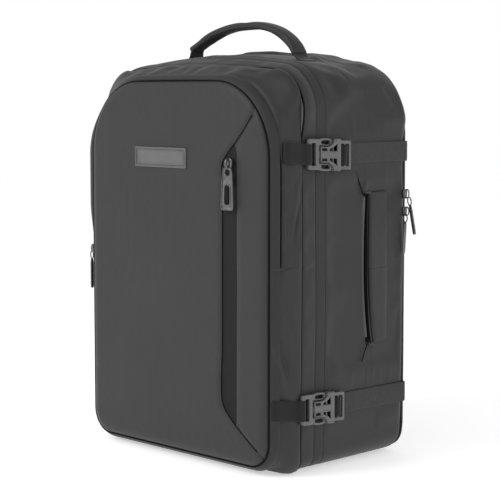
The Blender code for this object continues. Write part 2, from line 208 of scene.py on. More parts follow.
def thicken(piece, thickness, inside=None, offset=-1.0):
    """Gives a skin its thickness, with another material on the inside."""
    if inside is not None:
        piece.data.materials.append(inside)
    slot = 1 if inside is not None else 0
    modifier(piece, "SOLIDIFY", thickness=thickness, offset=offset, material_offset=slot)


def inflate(piece, pinned, pressure, cap, slack=0.0, frames=20):
    """Puffs a skin by a short cloth simulation. pinned says how firmly a vertex index is held, 0 to 1."""
    start = [v.co.copy() for v in piece.data.vertices]
    group = piece.vertex_groups.new(name="held")
    for index in range(len(start)):
        group.add([index], pinned(index), "REPLACE")
    cloth = modifier(piece, "CLOTH")
    settings = cloth.settings
    settings.quality = 6
    settings.mass = 0.3
    settings.tension_stiffness = settings.compression_stiffness = 20.0
    settings.shear_stiffness = 8.0
    settings.bending_stiffness = 1.5
    settings.vertex_group_mass = "held"
    settings.use_pressure = True
    settings.uniform_pressure_force = pressure
    settings.shrink_min = -slack
    settings.effector_weights.gravity = 0.0
    cloth.collision_settings.use_collision = False
    cloth.point_cache.frame_start = 1
    cloth.point_cache.frame_end = frames
    scene = bpy.context.scene
    for number in range(1, frames + 1):
        scene.frame_set(number)
    graph = bpy.context.evaluated_depsgraph_get()
    moved = [v.co.copy() for v in piece.evaluated_get(graph).data.vertices]
    piece.modifiers.clear()
    piece.vertex_groups.clear()
    for vertex, before, after in zip(piece.data.vertices, start, moved):
        step = after - before
        vertex.co = before + step * min(1.0, cap / max(step.length, 1e-9))
    scene.frame_set(1)


# ---------------------------------------------------------------- materials


class Nodes:
    """A short way to wire one material's nodes."""

    def __init__(self, name, colour, roughness, metallic=0.0):
        self.material = bpy.data.materials.new(name)
        self.material.use_nodes = True
        self.tree = self.material.node_tree
        self.shader = self.tree.nodes["Principled BSDF"]
        self.set("Base Color", (*colour, 1.0))
        self.set("Roughness", roughness)
        self.set("Metallic", metallic)
        self.place = self.tree.nodes.new("ShaderNodeTexCoord").outputs["Object"]
        self.height = None

    def set(self, socket, value):
        self.shader.inputs[socket].default_value = value

    def node(self, kind, inputs=None, **values):
        made = self.tree.nodes.new("ShaderNode" + kind)
        for key, value in values.items():
            setattr(made, key, value)
        for key, value in (inputs or {}).items():
            if isinstance(value, bpy.types.NodeSocket):
                self.tree.links.new(value, made.inputs[key])
            else:
                made.inputs[key].default_value = value
        return made

    def noise(self, scale, detail=3.0):
        place = self.node("Mapping", {"Vector": self.place}).outputs["Vector"]
        return self.node("TexNoise", {"Vector": place, "Scale": scale, "Detail": detail}).outputs["Fac"]

    def bands(self, axis, pitch):
        """Ribs across an axis, one every pitch metres."""
        scale = 2 * math.pi / pitch / 20.0
        made = self.node(
            "TexWave", {"Vector": self.place, "Scale": scale, "Distortion": 0.0}, bands_direction=axis
        )
        return made.outputs["Fac"]

    def blend(self, a, b):
        return self.node("Math", {0: a, 1: b}, operation="ADD").outputs[0]

    def spread(self, value, low, high):
        return self.node("MapRange", {"Value": value, "To Min": low, "To Max": high}).outputs["Result"]

    def mottle(self, value, colour, amount, low=0.3, high=0.7):
        """Colour that shifts by amount either side as value goes from low to high."""
        dark = [c * (1 - amount) for c in colour] + [1.0]
        light = [min(c * (1 + amount), 1.0) for c in colour] + [1.0]
        ramp = self.node("ValToRGB", {"Fac": value})
        ramp.color_ramp.elements[0].position, ramp.color_ramp.elements[1].position = low, high
        ramp.color_ramp.elements[0].color, ramp.color_ramp.elements[1].color = dark, light
        self.tree.links.new(ramp.outputs["Color"], self.shader.inputs["Base Color"])

    def roughen(self, value, low, high):
        self.tree.links.new(self.spread(value, low, high), self.shader.inputs["Roughness"])

    def bump(self, height, distance, strength=1.0):
        inputs = {"Height": height, "Distance": distance, "Strength": strength}
        if self.height is not None:
            inputs["Normal"] = self.height
        self.height = self.node("Bump", inputs).outputs["Normal"]
        self.tree.links.new(self.height, self.shader.inputs["Normal"])


def coated_fabric(name, colour, roughness=0.5):
    """Smooth polyurethane-coated cloth: a fine grain over a faint weave, a little uneven in shade."""
    n = Nodes(name, colour, roughness)
    n.mottle(n.noise(9.0, 5.0), colour, 0.05)
    n.roughen(n.noise(34.0, 4.0), roughness - 0.05, roughness + 0.06)
    n.bump(n.noise(60.0, 2.0), 0.0006, 0.35)
    weave = n.blend(n.blend(n.bands("X", 0.0009), n.bands("Z", 0.0009)), n.bands("Y", 0.0009))
    n.bump(weave, 0.00004, 0.5)
    n.bump(n.noise(1400.0, 2.0), 0.00006, 0.6)
    n.set("Sheen Weight", 0.08)
    n.set("Sheen Roughness", 0.5)
    n.set("Specular IOR Level", 0.25)
    return n.material


def woven_webbing(name, colour):
    """Nylon webbing: fine ribs with a soft sheen."""
    n = Nodes(name, colour, 0.62)
    n.mottle(n.noise(500.0, 3.0), colour, 0.22)
    n.roughen(n.noise(120.0), 0.55, 0.75)
    weave = n.blend(n.bands("DIAGONAL", 0.0012), n.bands("Z", 0.0014))
    n.bump(weave, 0.00015, 0.6)
    n.set("Specular IOR Level", 0.25)
    n.set("Sheen Weight", 0.12)
    return n.material


def zip_cloth(name, colour):
    """Close plain weave, nearly without gloss."""
    n = Nodes(name, colour, 0.7)
    n.mottle(n.noise(700.0, 2.0), colour, 0.18)
    n.bump(n.blend(n.bands("X", 0.0007), n.bands("Z", 0.0007)), 0.0001, 0.6)
    n.set("Specular IOR Level", 0.12)
    return n.material


def moulded_plastic(name, colour, roughness=0.42):
    """Acetal: a fine spark-eroded grain, faintly uneven gloss."""
    n = Nodes(name, colour, roughness)
    n.mottle(n.noise(55.0, 3.0), colour, 0.06)
    n.roughen(n.noise(260.0), roughness - 0.06, roughness + 0.08)
    n.bump(n.noise(2400.0, 2.0), 0.00003, 0.5)
    return n.material


def worn_metal(name, colour, roughness=0.3):
    """Gunmetal plating with rubbed high spots."""
    n = Nodes(name, colour, roughness, 0.9)
    n.mottle(n.noise(240.0, 4.0), colour, 0.2)
    n.roughen(n.noise(420.0, 3.0), roughness - 0.08, roughness + 0.15)
    n.bump(n.noise(900.0, 2.0), 0.00003, 0.4)
    return n.material


def rubber_patch(name, colour):
    """Moulded rubber with a fine leather-like grain."""
    n = Nodes(name, colour, 0.5)
    n.mottle(n.noise(70.0, 4.0), colour, 0.06)
    n.bump(n.noise(700.0, 3.0), 0.00012, 0.6)
    return n.material


def air_mesh(name, colour):
    """Open spacer mesh: dark holes in a grid of loops."""
    n = Nodes(name, colour, 0.85)
    cells = n.node(
        "TexVoronoi", {"Vector": n.place, "Scale": 380.0, "Randomness": 0.12}
    ).outputs["Distance"]
    n.mottle(cells, colour, 0.55, 0.25, 0.75)
    n.bump(cells, 0.0008, 0.7)
    n.set("Sheen Weight", 0.2)
    return n.material


def lining_cloth(name, colour):
    """Thin plain-woven lining."""
    n = Nodes(name, colour, 0.75)
    n.mottle(n.noise(20.0, 4.0), colour, 0.08)
    n.bump(n.blend(n.bands("X", 0.0008), n.bands("Z", 0.0008)), 0.0001, 0.5)
    return n.material


COATED = coated_fabric("coated_fabric", (0.0268, 0.0268, 0.0273))
# The band cloth is the coated fabric darkened a little: painted shade on the band round the pocket, which turns
# away from the light.
SHADED_BAND_CLOTH = coated_fabric("band_cloth_painted_shade", (0.024, 0.024, 0.0245), 0.55)
WEBBING = woven_webbing("webbing", (0.034, 0.034, 0.035))
DARK_WEBBING = woven_webbing("dark_webbing", (0.0088, 0.0088, 0.0092))
ZIP = zip_cloth("zip_tape", (0.0175, 0.0175, 0.018))
# SHADOW is painted shade: near-black cloth laid in the seams, the finger slit, the darts and the creases, where
# shade falls.
SHADOW = zip_cloth("seam_shadow", (0.003, 0.003, 0.003))
PLASTIC = moulded_plastic("buckle_plastic", (0.110, 0.110, 0.113))
TEETH = moulded_plastic("zip_coil", (0.020, 0.020, 0.021), 0.35)
METAL = worn_metal("gunmetal", (0.145, 0.145, 0.149))
PATCH = rubber_patch("patch_rubber", (0.108, 0.108, 0.110))
MESH_CLOTH = air_mesh("air_mesh", (0.045, 0.045, 0.047))
LINING = lining_cloth("lining", (0.10, 0.10, 0.105))
BOARD = moulded_plastic("stiff_board", (0.03, 0.03, 0.03), 0.55)
THREAD = woven_webbing("thread", (0.075, 0.075, 0.078))
PATCH_THREAD = woven_webbing("patch_thread", (0.018, 0.018, 0.018))


def finish_piece(piece, body, *nodes):
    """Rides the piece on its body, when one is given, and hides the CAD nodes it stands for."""
    if isinstance(body, str):
        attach(piece, body)
    if nodes:
        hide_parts(*nodes)
    return piece


# ---------------------------------------------------------------- the pack's own form


def shell_shape(y):
    """The main shell's outline at depth y: it swells behind the join and rounds off at the rear."""
    top = track(
        [(-0.075, 0.490), (-0.045, 0.500), (0.0, 0.5055), (0.045, 0.5055), (0.085, 0.503), (0.108, 0.499)],
        y
    )
    crown = track([(-0.075, 0.40), (0.0, 0.70), (0.108, 1.00)], y)
    half_w = track([(-0.075, 0.1752), (-0.045, 0.1757), (0.03, 0.1760), (0.108, 0.1758)], y)
    top_r = track([(-0.075, 0.048), (0.0, 0.054), (0.108, 0.056)], y)
    low_r = track([(-0.075, 0.017), (0.108, 0.028)], y)
    return Shape(half_w, SHELL_LOW.z - 0.0010, top, top_r, low_r, crown)


def off_straps(z):
    """0 under the compression straps, 1 well away from them."""
    return min(smooth((abs(z - level) - 0.014) / 0.020) for level in STRAP_LEVELS.values())


def shell_puff(y, x, z):
    """How far the shell's fabric stands off its outline: more between the straps than under them."""
    rear = smooth((y - 0.02) / 0.09)
    shoulder = (0.0005 + 0.0050 * rear) * smooth((z - 0.398) / 0.03)
    middle = 0.0028 * bell((z - 0.085) / 0.29) * bell((y + 0.085) / 0.21) * off_straps(z)
    foot = -0.0010 * smooth((0.062 - z) / 0.03)
    uneven = 0.0009 * wave((x, y, z), 14.0, 3.0) * smooth((y - JOIN_Y) / 0.012) * off_straps(z)
    front = seam_reach(x, z) * (1 - smooth((y - JOIN_Y) / 0.030))
    return shoulder + middle + foot + front + (uneven if z > 0.05 else 0.0)


def side_x(y, z):
    """The shell's half width at a point of its side."""
    return shell_shape(y).half_w + shell_puff(y, 0.176, z)


# ---------------------------------------------------------------- main shell


def slit_centre(z):
    """Depth of the finger slit in front of the side handle: it bows forward at mid height."""
    return track([(0.144, 0.0465), (0.165, 0.0415), (0.215, 0.0360), (0.275, 0.0350), (0.331, 0.0375)], z)


SLIT_Z = (0.147, 0.333)
SLIT_ROW = 0.040  # the rows of the shell's mesh bend to follow the slit from here
SLIT_HALF = 0.0050
SLIT_DEPTH = 0.0085
DARTS = (((0.0175, 0.361), (0.0325, 0.331)), ((0.0420, 0.152), (0.0292, 0.126)))


def slit_shift(y, z):
    """Moves a row of the right side along Y, so that it runs with the slit."""
    near = smooth(1 - abs(y - SLIT_ROW) / 0.024)
    return (slit_centre(z) - SLIT_ROW) * near * bell((z - 0.07) / 0.335) ** 0.3


def slit_depth(row_y, x, z):
    """How far the slit sinks into the right side, at a row's own depth before it was shifted."""
    if x < 0.15 or not SLIT_Z[0] < z < SLIT_Z[1]:
        return 0.0
    across = smooth((SLIT_HALF + 0.0006 - abs(row_y - SLIT_ROW)) / 0.0012)
    return SLIT_DEPTH * across * smooth(min(z - SLIT_Z[0], SLIT_Z[1] - z) / 0.005)


def dart_depth(y, x, z):
    """The two stitched darts that run from the slit's ends, upward and downward."""
    if x < 0.15:
        return 0.0
    depth = 0.0
    for (y0, z0), (y1, z1) in DARTS:
        along = (z - z0) / (z1 - z0)
        if 0.0 < along < 1.0:
            line = mix(y0, y1, along)
            depth += 0.0008 * math.exp(-(((y - line) / 0.0013) ** 2)) * smooth(min(along, 1 - along) * 8)
    return depth


def shell_levels():
    """Depths of the shell's rings: close together at the band's edges, the seams and the slit."""
    marks = [JOIN_Y + 0.0006, JOIN_Y + 0.0018, JOIN_Y + 0.004, JOIN_Y + 0.008, -0.062]
    for edge in (BAND_LOW.y, BAND_HIGH.y):
        marks += [edge - 0.003, edge - 0.0009, edge, edge + 0.0009, edge + 0.003]
    marks += [-0.044, -0.026, -0.018, -0.010, -0.002, 0.006]
    marks += spread(0.012, SLIT_ROW - 0.004, 13)
    marks += [
        SLIT_ROW + side * off for side in (-1, 1)
        for off in (0.0, 0.0015, SLIT_HALF, SLIT_HALF + 0.0006, 0.0039)
    ]
    marks += spread(SLIT_ROW + 0.005, 0.098, 20)
    marks += [0.098, 0.102, 0.105, REAR_Y - 0.0008, REAR_Y]
    return sorted(set(marks))


def shell_groove(y):
    """Stitched lines at the binding band's edges, and the turned edges at both seams."""
    near = min(abs(y - BAND_LOW.y), abs(y - BAND_HIGH.y))
    groove = 0.0014 * math.exp(-((near / 0.0007) ** 2))
    front = 0.0018 * (1 - smooth((y - JOIN_Y) / 0.0030))
    rear = 0.0030 * (1 - smooth((REAR_Y - y) / 0.0055))
    return groove + front + rear


def build_shell():
    """The tray's fabric, its front wall, and the lining that shows when the door is open."""
    levels = shell_levels()
    rows = [ring(shell_shape(y), y, lambda x, z, y=y: shell_puff(y, x, z)) for y in levels]
    shell = loft("main_shell_skin", rows, COATED)
    columns = len(rows[0])
    held_rows = {i for i, y in enumerate(levels) if y < JOIN_Y + 0.005 or y > REAR_Y - 0.006}

    def held(index):
        row, z = index // columns, shell.data.vertices[index].co.z
        near_band = abs(levels[row] - (BAND_LOW.y + BAND_HIGH.y) / 2) < 0.012
        under_strap = 0.9 * (1 - off_straps(z))
        return 1.0 if row in held_rows or near_band else max(under_strap, 0.9 * (z < 0.05))

    inflate(shell, held, 2.2, 0.0030, slack=0.012)
    for index, vertex in enumerate(shell.data.vertices):
        row_y = levels[index // columns]
        x, z = vertex.co.x, vertex.co.z
        if x > 0.15:
            vertex.co.y += slit_shift(row_y, z)
        sink = shell_groove(row_y) + slit_depth(row_y, x, z) + dart_depth(vertex.co.y, x, z)
        _, _, nx, nz = rim(shell_shape(row_y))[index % columns] if sink > 1e-5 else (0, 0, 0, 0)
        vertex.co += Vector((-nx * sink, 0.0, -nz * sink))
    shell.data.materials.append(SHADOW)
    shell.data.materials.append(SHADED_BAND_CLOTH)
    # Faces deep in the finger slit take SHADOW, painted shade on its walls and floor; faces on the binding band
    # take the band cloth, darkened as painted shade.
    for face in shell.data.polygons:
        rows_of_face = [levels[v // columns] for v in face.vertices]
        row_y = sum(rows_of_face) / len(rows_of_face)
        if slit_depth(row_y, face.center.x + 0.01, face.center.z) > 0.08 * SLIT_DEPTH:
            face.material_index = 1
        elif BAND_LOW.y < row_y < BAND_HIGH.y:
            face.material_index = 2
    subdivide(shell)
    thicken(shell, 0.0012)
    finish_piece(shell, "root", "main_shell", "binding_band")

    wall_rows = []
    inner = shell_shape(JOIN_Y)._replace(crown=0.4)
    for inset, y in ((0.0010, JOIN_Y - 0.0001), (0.0045, JOIN_Y + 0.0010), (0.012, JOIN_Y + 0.0016)):
        wall_rows.append(ring(inner, y, lambda x, z, inset=inset: seam_reach(x, z) - inset))
    wall_rows += [flat_ring(inner, JOIN_Y + 0.0022, 0.05), flat_ring(inner, JOIN_Y + 0.003, 0.11)]
    wall = loft("front_wall", wall_rows, LINING)
    close_ring(wall, len(wall_rows[0]) * (len(wall_rows) - 1), len(wall_rows[0]))
    thicken(wall, 0.0015)
    finish_piece(wall, "root")

    lining_rows = [
        ring(shell_shape(y), y, -0.0045) for y in (REAR_Y - 0.001, 0.08, 0.03, -0.02, -0.06, JOIN_Y + 0.006)
    ]
    lining = loft("shell_lining", lining_rows, LINING)
    thicken(lining, 0.0008)
    finish_piece(lining, "root")


def flat_ring(s, y, inset):
    """A ring scaled towards the outline's middle line, for closing a wall."""
    middle = (s.bottom + s.top) / 2
    k_x, k_z = 1 - inset / s.half_w, 1 - inset / (s.top - middle)
    return [Vector((x * k_x, y, middle + (z - middle) * k_z)) for x, z, _, _ in rim(s)]


def close_ring(piece, start, count):
    """Fills the last ring of a loft by bridging its mirrored halves."""
    work = bmesh.new()
    work.from_mesh(piece.data)
    work.verts.ensure_lookup_table()
    run = [work.verts[start + k] for k in range(count)]
    half = count // 2
    for k in range(half):
        a, b = run[k], run[(k + 1) % count]
        c, d = run[(count - k - 1) % count], run[(count - k) % count]
        corners = list(dict.fromkeys((a, b, c, d)))
        if len(corners) > 2:
            work.faces.new(corners)
    bmesh.ops.recalc_face_normals(work, faces=work.faces)
    work.to_mesh(piece.data)
    work.free()
    piece.data.shade_smooth()


# ---------------------------------------------------------------- front pocket


GUSSET_REAR = Shape(0.1758, 0.0010, 0.4890, 0.046, 0.017, 0.40)


def above_fold(z):
    """0 below the fold, 1 above it, over a few millimetres."""
    return smooth((z - FOLD_Z + 0.0012) / 0.0024)


def zip_gap(z):
    """How far the zip's slit stands open: closed round the top, open down both sides."""
    return 0.0003 + 0.0030 * smooth((0.398 - z) / 0.03)


def gusset_front(z):
    """Where the gusset starts: at the zip above the fold, at the panel's seam below it."""
    return mix(SEAM_Y + 0.0010, LIP_Y + zip_gap(z), above_fold(z))


def seam_reach(x, z):
    """How far the gusset's rear seam stands out from its outline: it bulges above the top strap."""
    keys = [
        (0.10, 0.0), (0.16, 0.0012), (0.34, 0.0012), (0.372, -0.0004), (0.396, -0.0004), (0.425, 0.0045),
        (0.46, 0.0055)
    ]
    return track(keys + [(0.487, 0.0020)], z) if abs(x) > 0.10 else 0.0010


def build_gusset():
    """The soft ring between the front panel and the main shell."""
    steps = 16
    rims = [rim(PANEL), rim(LIP), rim(GUSSET_REAR)]
    columns = len(rims[0])
    rows = []
    for step in range(steps + 1):
        t = step / steps
        row = []
        for k in range(columns):
            (px, pz, nx, nz), (lx, lz, _, _), (rx, rz, _, _) = (r[k] for r in rims)
            up = above_fold(lz)
            sx, sz = mix(px, lx, up), mix(pz, lz, up)
            y = mix(gusset_front(lz), JOIN_Y - 0.0006, t)
            swell = mix(0.0050, 0.0026, up) * bell(t ** mix(0.75, 0.9, up)) ** 0.8
            swell *= 0.35 + 0.65 * smooth((lz - 0.004) / 0.04)
            swell *= 1 if abs(lx) < 0.14 else 0.2 + 0.8 * off_straps(lz)
            edge = -0.0010 * (1 - smooth(t / 0.10)) * up - 0.0014 * smooth((t - 0.93) / 0.07)
            edge += seam_reach(sx, lz) * smooth((t - 0.30) / 0.6)
            x, z = mix(sx, rx, smooth(t)), mix(sz, rz, smooth(t))
            out = swell + edge + gusset_wrinkle(x, y, z, t)
            row.append(Vector((x + nx * out, y, z + nz * out)))
        rows.append(row)
    gusset = loft("front_gusset_skin", rows, COATED)
    last = steps * columns

    def held(index):
        at_strap = 1 - off_straps(gusset.data.vertices[index].co.z)
        return 1.0 if index < columns * 2 or index >= last - columns else max(0.15, 0.9 * at_strap)

    inflate(gusset, held, 2.0, 0.0020, slack=0.01)
    subdivide(gusset)
    thicken(gusset, 0.0012)
    finish_piece(gusset, "root", "front_pocket_gusset")


# Slack folds: top and bottom level, where across the gusset they start and end, and how high they stand
GUSSET_FOLDS = (
    (0.176, 0.106, -0.04, 0.40, 0.0042),
    (0.215, 0.150, 0.10, 0.70, 0.0014),
    (0.362, 0.270, 0.78, 0.30, 0.0022),
)


def gusset_wrinkle(x, y, z, t):
    """Long slack folds: a diagonal one low on each side, and a shallow one under the top straps."""
    if abs(x) < 0.15:
        return 0.0012 * wave((x, y, z), 11.0, 5.0) * bell(t)
    fold = 0.0
    for top_z, low_z, start, end, height in GUSSET_FOLDS:
        along = (top_z - z) / (top_z - low_z)
        if 0.0 < along < 1.0:
            line = mix(start, end, along)
            fold += height * bell(along) * math.exp(-(((t - line) / 0.10) ** 2))
            fold -= height * 1.1 * bell(along) * math.exp(-(((t - line - 0.20) / 0.09) ** 2))
    return fold * off_straps(z) + 0.0012 * wave((x, y, z), 15.0, 9.0) * bell(t) * off_straps(z)


# The front panel's fields: a wide left one, the dark zip strip, and a narrow right one
STRIP_X = (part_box("quick_zip_upper")[0].x + 0.0010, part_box("quick_zip_upper")[1].x + 0.0025)
QUICK_SHIFT = 0.0040  # the slider and its pull lean off the strip's middle
LEFT_EDGE = [(0.024, 0.1580), (0.0545, 0.1140), (0.078, 0.0900), (0.105, 0.0858), (0.140, STRIP_X[0])]
LEFT_EDGE += [(0.345, STRIP_X[0]), (0.372, 0.0868), (0.387, 0.0985), (0.404, 0.1165), (0.438, 0.1455)]
PUFF_REACH, PUFF_HEIGHT = 0.012, 0.0050


def rim_half_w(s, z):
    """The outline's half width at a height."""
    if z < s.bottom + s.bottom_r:
        d = s.bottom + s.bottom_r - z
        return s.half_w - s.bottom_r + math.sqrt(max(s.bottom_r**2 - d * d, 0.0))
    if z > s.top - s.top_r:
        d = z - (s.top - s.top_r)
        return s.half_w - s.top_r + math.sqrt(max(s.top_r**2 - d * d, 0.0))
    return s.half_w


def inside(s, x, z):
    """How far a point lies inside the outline."""
    x = abs(x)
    radius = s.top_r if z > (s.top + s.bottom) / 2 else s.bottom_r
    high = s.top - radius if z > (s.top + s.bottom) / 2 else s.bottom + radius
    dx, dz = x - (s.half_w - radius), (z - high) if z > (s.top + s.bottom) / 2 else (high - z)
    if dx > 0 and dz > 0:
        return radius - math.hypot(dx, dz)
    return min(s.half_w - x, s.top - z, z - s.bottom)


def panel_y(x, z):
    """Depth of the padded front panel's face."""
    t = min(max(inside(PANEL, x, z) / PUFF_REACH, 0.0), 1.0)
    round_off = math.sqrt(max(1 - (1 - t) ** 2, 0.0))
    sag = 0.0012 * smooth((0.20 - z) / 0.16) * (1 - (x / 0.17) ** 2)
    uneven = 0.0005 * wave((x, 0.0, z), 9.0, 2.0) + 0.0003 * wave((x, 0.0, z), 22.0, 4.0)
    return SEAM_Y - PUFF_HEIGHT * round_off - sag * t - uneven * t


def panel_rows():
    """Heights of the panel's rows, close together round the corners and the fold."""
    rows = [PANEL.bottom + PANEL.bottom_r * (1 - math.cos(a)) for a in spread(0.0, math.pi / 2, 9)]
    rows += spread(PANEL.bottom + PANEL.bottom_r, FOLD_Z - 0.02, 30)
    rows += spread(FOLD_Z - 0.02, FOLD_Z + 0.02, 12)
    rows += spread(FOLD_Z + 0.02, PANEL.top - PANEL.top_r, 28)
    rows += [PANEL.top - PANEL.top_r * (1 - math.sin(a)) for a in spread(0.0, math.pi / 2, 16)]
    return rows + [PANEL.top]


def left_edge(z):
    """The left field's free edge: the strip's left side, running out to the panel's corners at both ends."""
    limit = rim_half_w(PANEL, z)
    if z <= LEFT_EDGE[0][0] or z >= LEFT_EDGE[-1][0]:
        return limit
    return min(track(LEFT_EDGE, z), limit)


def field(name, low_edge, high_edge, columns, rows, sink, roll, material):
    """A ruled patch of the front panel between two edges. roll says which sides turn under: (low, high)."""
    lines = []
    for z in rows:
        x0, x1 = low_edge(z), high_edge(z)
        line = []
        for k in range(columns + 1):
            t = 0.5 - 0.5 * math.cos(math.pi * k / columns)
            x = mix(x0, x1, t)
            line.append(Vector((x, panel_y(x, z) + sink(x, z), z)))
        if roll[0]:
            line = [
                line[0] + Vector((0.0014, 0.0040, 0)), line[0] + Vector((-0.0002, 0.0016, 0))
            ] + line[1:]
        if roll[1]:
            edge = line[-1]
            line = line[:-1] + [edge + Vector((0.0002, 0.0016, 0)), edge + Vector((-0.0014, 0.0040, 0))]
        lines.append(line)
    return loft(name, lines, material, closed=False)


def edge_fall(distance, reach=0.010, depth=0.0016):
    """How far a field sinks near a turned edge."""
    return depth * (1 - smooth(distance / reach)) ** 2


def bend_at_fold(piece):
    """Bakes the piece's transform into its mesh; it does not bend it between the sewn lower part and the flap."""
    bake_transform(piece)


def build_front_panel():
    """Both padded fields and the dark strip between them."""
    rows = panel_rows()

    def left_sink(x, z):
        return edge_fall(left_edge(z) - x) if LEFT_EDGE[0][0] < z < LEFT_EDGE[-1][0] else 0.0

    left = field(
        "front_panel_face", lambda z: -rim_half_w(PANEL, z), left_edge, 56, rows, left_sink, (False, True),
        COATED
    )
    columns = len(left.data.vertices) // len(rows)

    def held(index):
        x, z = left.data.vertices[index].co.x, left.data.vertices[index].co.z
        at_side = index % columns in (0, columns - 1, columns - 2)
        at_edge = at_side or index < columns or index >= columns * (len(rows) - 1)
        return 1.0 if at_edge or inside(PANEL, x, z) < 0.006 else 0.4

    inflate(left, held, 1.2, 0.0016, slack=0.004)
    subdivide(left)
    thicken(left, 0.0016)
    bend_at_fold(left)
    finish_piece(left, None, "front_panel_upper", "front_panel_lower")

    right_rows = [z for z in rows if 0.018 < z < 0.446]

    def right_low(z):
        return max(left_edge(z) - 0.006, STRIP_X[1] if 0.055 < z < 0.398 else 0.0)

    def right_sink(x, z):
        tuck = 0.0022 * (1 - smooth((x - left_edge(z)) / 0.008))
        return max(edge_fall(x - STRIP_X[1], 0.012, 0.0014) if 0.055 < z < 0.398 else 0.0, tuck)

    right = field(
        "front_panel_side", right_low, lambda z: rim_half_w(PANEL, z), 16, right_rows, right_sink, (
            True, False
        ), COATED
    )
    subdivide(right)
    thicken(right, 0.0012)
    bend_at_fold(right)
    finish_piece(right, None)

    strip_rows = [z for z in rows if 0.045 < z < 0.405]
    strip = field(
        "quick_zip_strip",
        lambda z: max(STRIP_X[0], left_edge(z)) - 0.003,
        lambda z: STRIP_X[1] + 0.004,
        14,
        strip_rows,
        lambda x, z: 0.0022,
        (False, False),
        ZIP,
    )
    thicken(strip, 0.001)
    bend_at_fold(strip)
    finish_piece(strip, None, "quick_zip_upper", "quick_zip_lower")


def left_swell(x, z):
    """The left edge of the flap is pushed out a little by what is packed behind it."""
    if x > -0.10:
        return 0.0
    return 0.0085 * smooth((z - FOLD_Z - 0.004) / 0.06) * smooth((0.445 - z) / 0.06)


def build_panel_band():
    """The narrow band between the panel's seam and the zip."""
    profile = [
        (0.0, 0.0020, 0.0), (0.02, 0.0, -0.0002), (0.12, 0.0, 0.0012), (0.35, 0.0, 0.0026),
        (0.62, 0.0, 0.0026)
    ]
    profile += [(0.85, 0.0, 0.0016), (0.97, 0.0, 0.0004), (1.0, -0.0004, -0.0014), (0.97, 0.0, -0.0032)]
    panel, lip = rim(PANEL), rim(LIP)
    rows = []
    for t, back, out in profile:
        y = mix(SEAM_Y, LIP_Y, t) + back
        row = []
        for p, q in zip(panel, lip):
            reach = out + left_swell(q[0], q[1]) * bell(min(t, 1.0) ** 0.65)
            row.append(Vector((mix(p[0], q[0], t) + p[2] * reach, y, mix(p[1], q[1], t) + p[3] * reach)))
        rows.append(row)
    # The band's cloth is the coated fabric darkened as painted shade.
    band = loft("front_panel_band", rows, SHADED_BAND_CLOTH)
    subdivide(band)
    thicken(band, 0.001)
    bend_at_fold(band)
    finish_piece(band, None)


# ---------------------------------------------------------------- strips, mouldings and small hardware


def curve_through(points, step):
    """Points about every step metres along a smooth curve through the given ones."""
    points = [Vector(p) for p in points]
    run = []
    for i in range(len(points) - 1):
        before, a, b, after = points[max(i - 1, 0)], points[i], points[i + 1], points[
            min(i + 2, len(points) - 1)
        ]
        length = (b - a).length
        m0 = (b - before) * (length / max((a - before).length + length, 1e-9))
        m1 = (after - a) * (length / max((after - b).length + length, 1e-9))
        count = max(1, round(length / step))
        for k in range(count):
            t = k / count
            h = t * t * (3 - 2 * t)
            run.append(a * (1 - h) + b * h + m0 * (t * (1 - t) ** 2) - m1 * (t * t * (1 - t)))
    return run + [points[-1]]


def sweep(name, path, section, face, material, closed=False):
    """A solid strip. section(k) lists (across, off) points, and face(k) is the way that off points."""
    rows = []
    for k, point in enumerate(path):
        before = path[k - 1] if closed or k else path[0]
        after = path[(k + 1) % len(path)] if closed or k + 1 < len(path) else path[-1]
        along = (after - before).normalized()
        off = Vector(face(k))
        off = (off - along * off.dot(along)).normalized()
        across = along.cross(off)
        rows.append([point + across * a + off * b for a, b in section(k)])
    columns = len(rows[0])
    if closed:
        rows.append(rows[0])
    faces = grid_faces(len(rows), columns, True)
    if closed:
        last = (len(rows) - 1) * columns
        faces = [tuple(v - last if v >= last else v for v in face_) for face_ in faces]
        rows.pop()
    else:
        last = (len(rows) - 1) * columns
        faces += [tuple(range(columns))[::-1], tuple(range(last, last + columns))]
    return add_mesh(name, [p for row in rows for p in row], faces, material)


def oval(half_w, half_t, steps=16, square=0.45):
    """A rounded flat section."""
    points = []
    for k in range(steps):
        c, n = math.cos(2 * math.pi * k / steps), math.sin(2 * math.pi * k / steps)
        points.append(
            (half_w * math.copysign(abs(c) ** square, c), half_t * math.copysign(abs(n) ** 0.7, n))
        )
    return points


def tube(name, path, radius, face, material, closed=False, sides=8):
    """A round cord or wire."""
    return sweep(name, path, lambda k: oval(radius, radius, sides, 1.0), lambda k: face, material, closed)


def seam_shade_cord(name, shape, y, out, radius, material):
    """A thin cord lying in a seam that follows an outline; in SHADOW it is a line of painted shade."""
    return tube(name, ring(shape, y, out), radius, (0, -1, 0), material, closed=True, sides=6)


def webbing(name, points, width, thickness, face, material):
    """Ribbed webbing laid through points."""
    path = curve_through(points, 0.0008)
    plain, ribbed = (oval(width / 2, thickness / 2 + rib, 14, 0.25) for rib in (-0.00009, 0.00009))
    return sweep(name, path, lambda k: ribbed if k % 2 else plain, lambda k: face, material)


def pillow(name, path, half_w, thick, face, material, corner, steps=26):
    """A padded strip with rounded edges and ends. half_w and thick are functions of 0 to 1 along the path."""
    reach = [0.0]
    for a, b in zip(path, path[1:]):
        reach.append(reach[-1] + (b - a).length)

    def section(k):
        t = reach[k] / reach[-1]
        end = min(reach[k], reach[-1] - reach[k]) / max(corner, 1e-6)
        rounding = math.sqrt(max(1 - (1 - min(end, 1.0)) ** 2, 0.0))
        return oval(
            half_w(t) - corner * (1 - rounding), thick(t) / 2 * (0.15 + 0.85 * rounding), steps, 0.5
        )

    return sweep(name, path, section, lambda k: face, material)


def puff_up(piece, rows_held, steps, pressure, cap):
    """A short simulation that fills a pillow: its first and last rows are held."""
    last = len(piece.data.vertices) - rows_held * steps
    inflate(
        piece, lambda index: 1.0 if index < rows_held * steps or index >= last else 0.12, pressure, cap,
        0.01, 16
    )
    subdivide(piece)


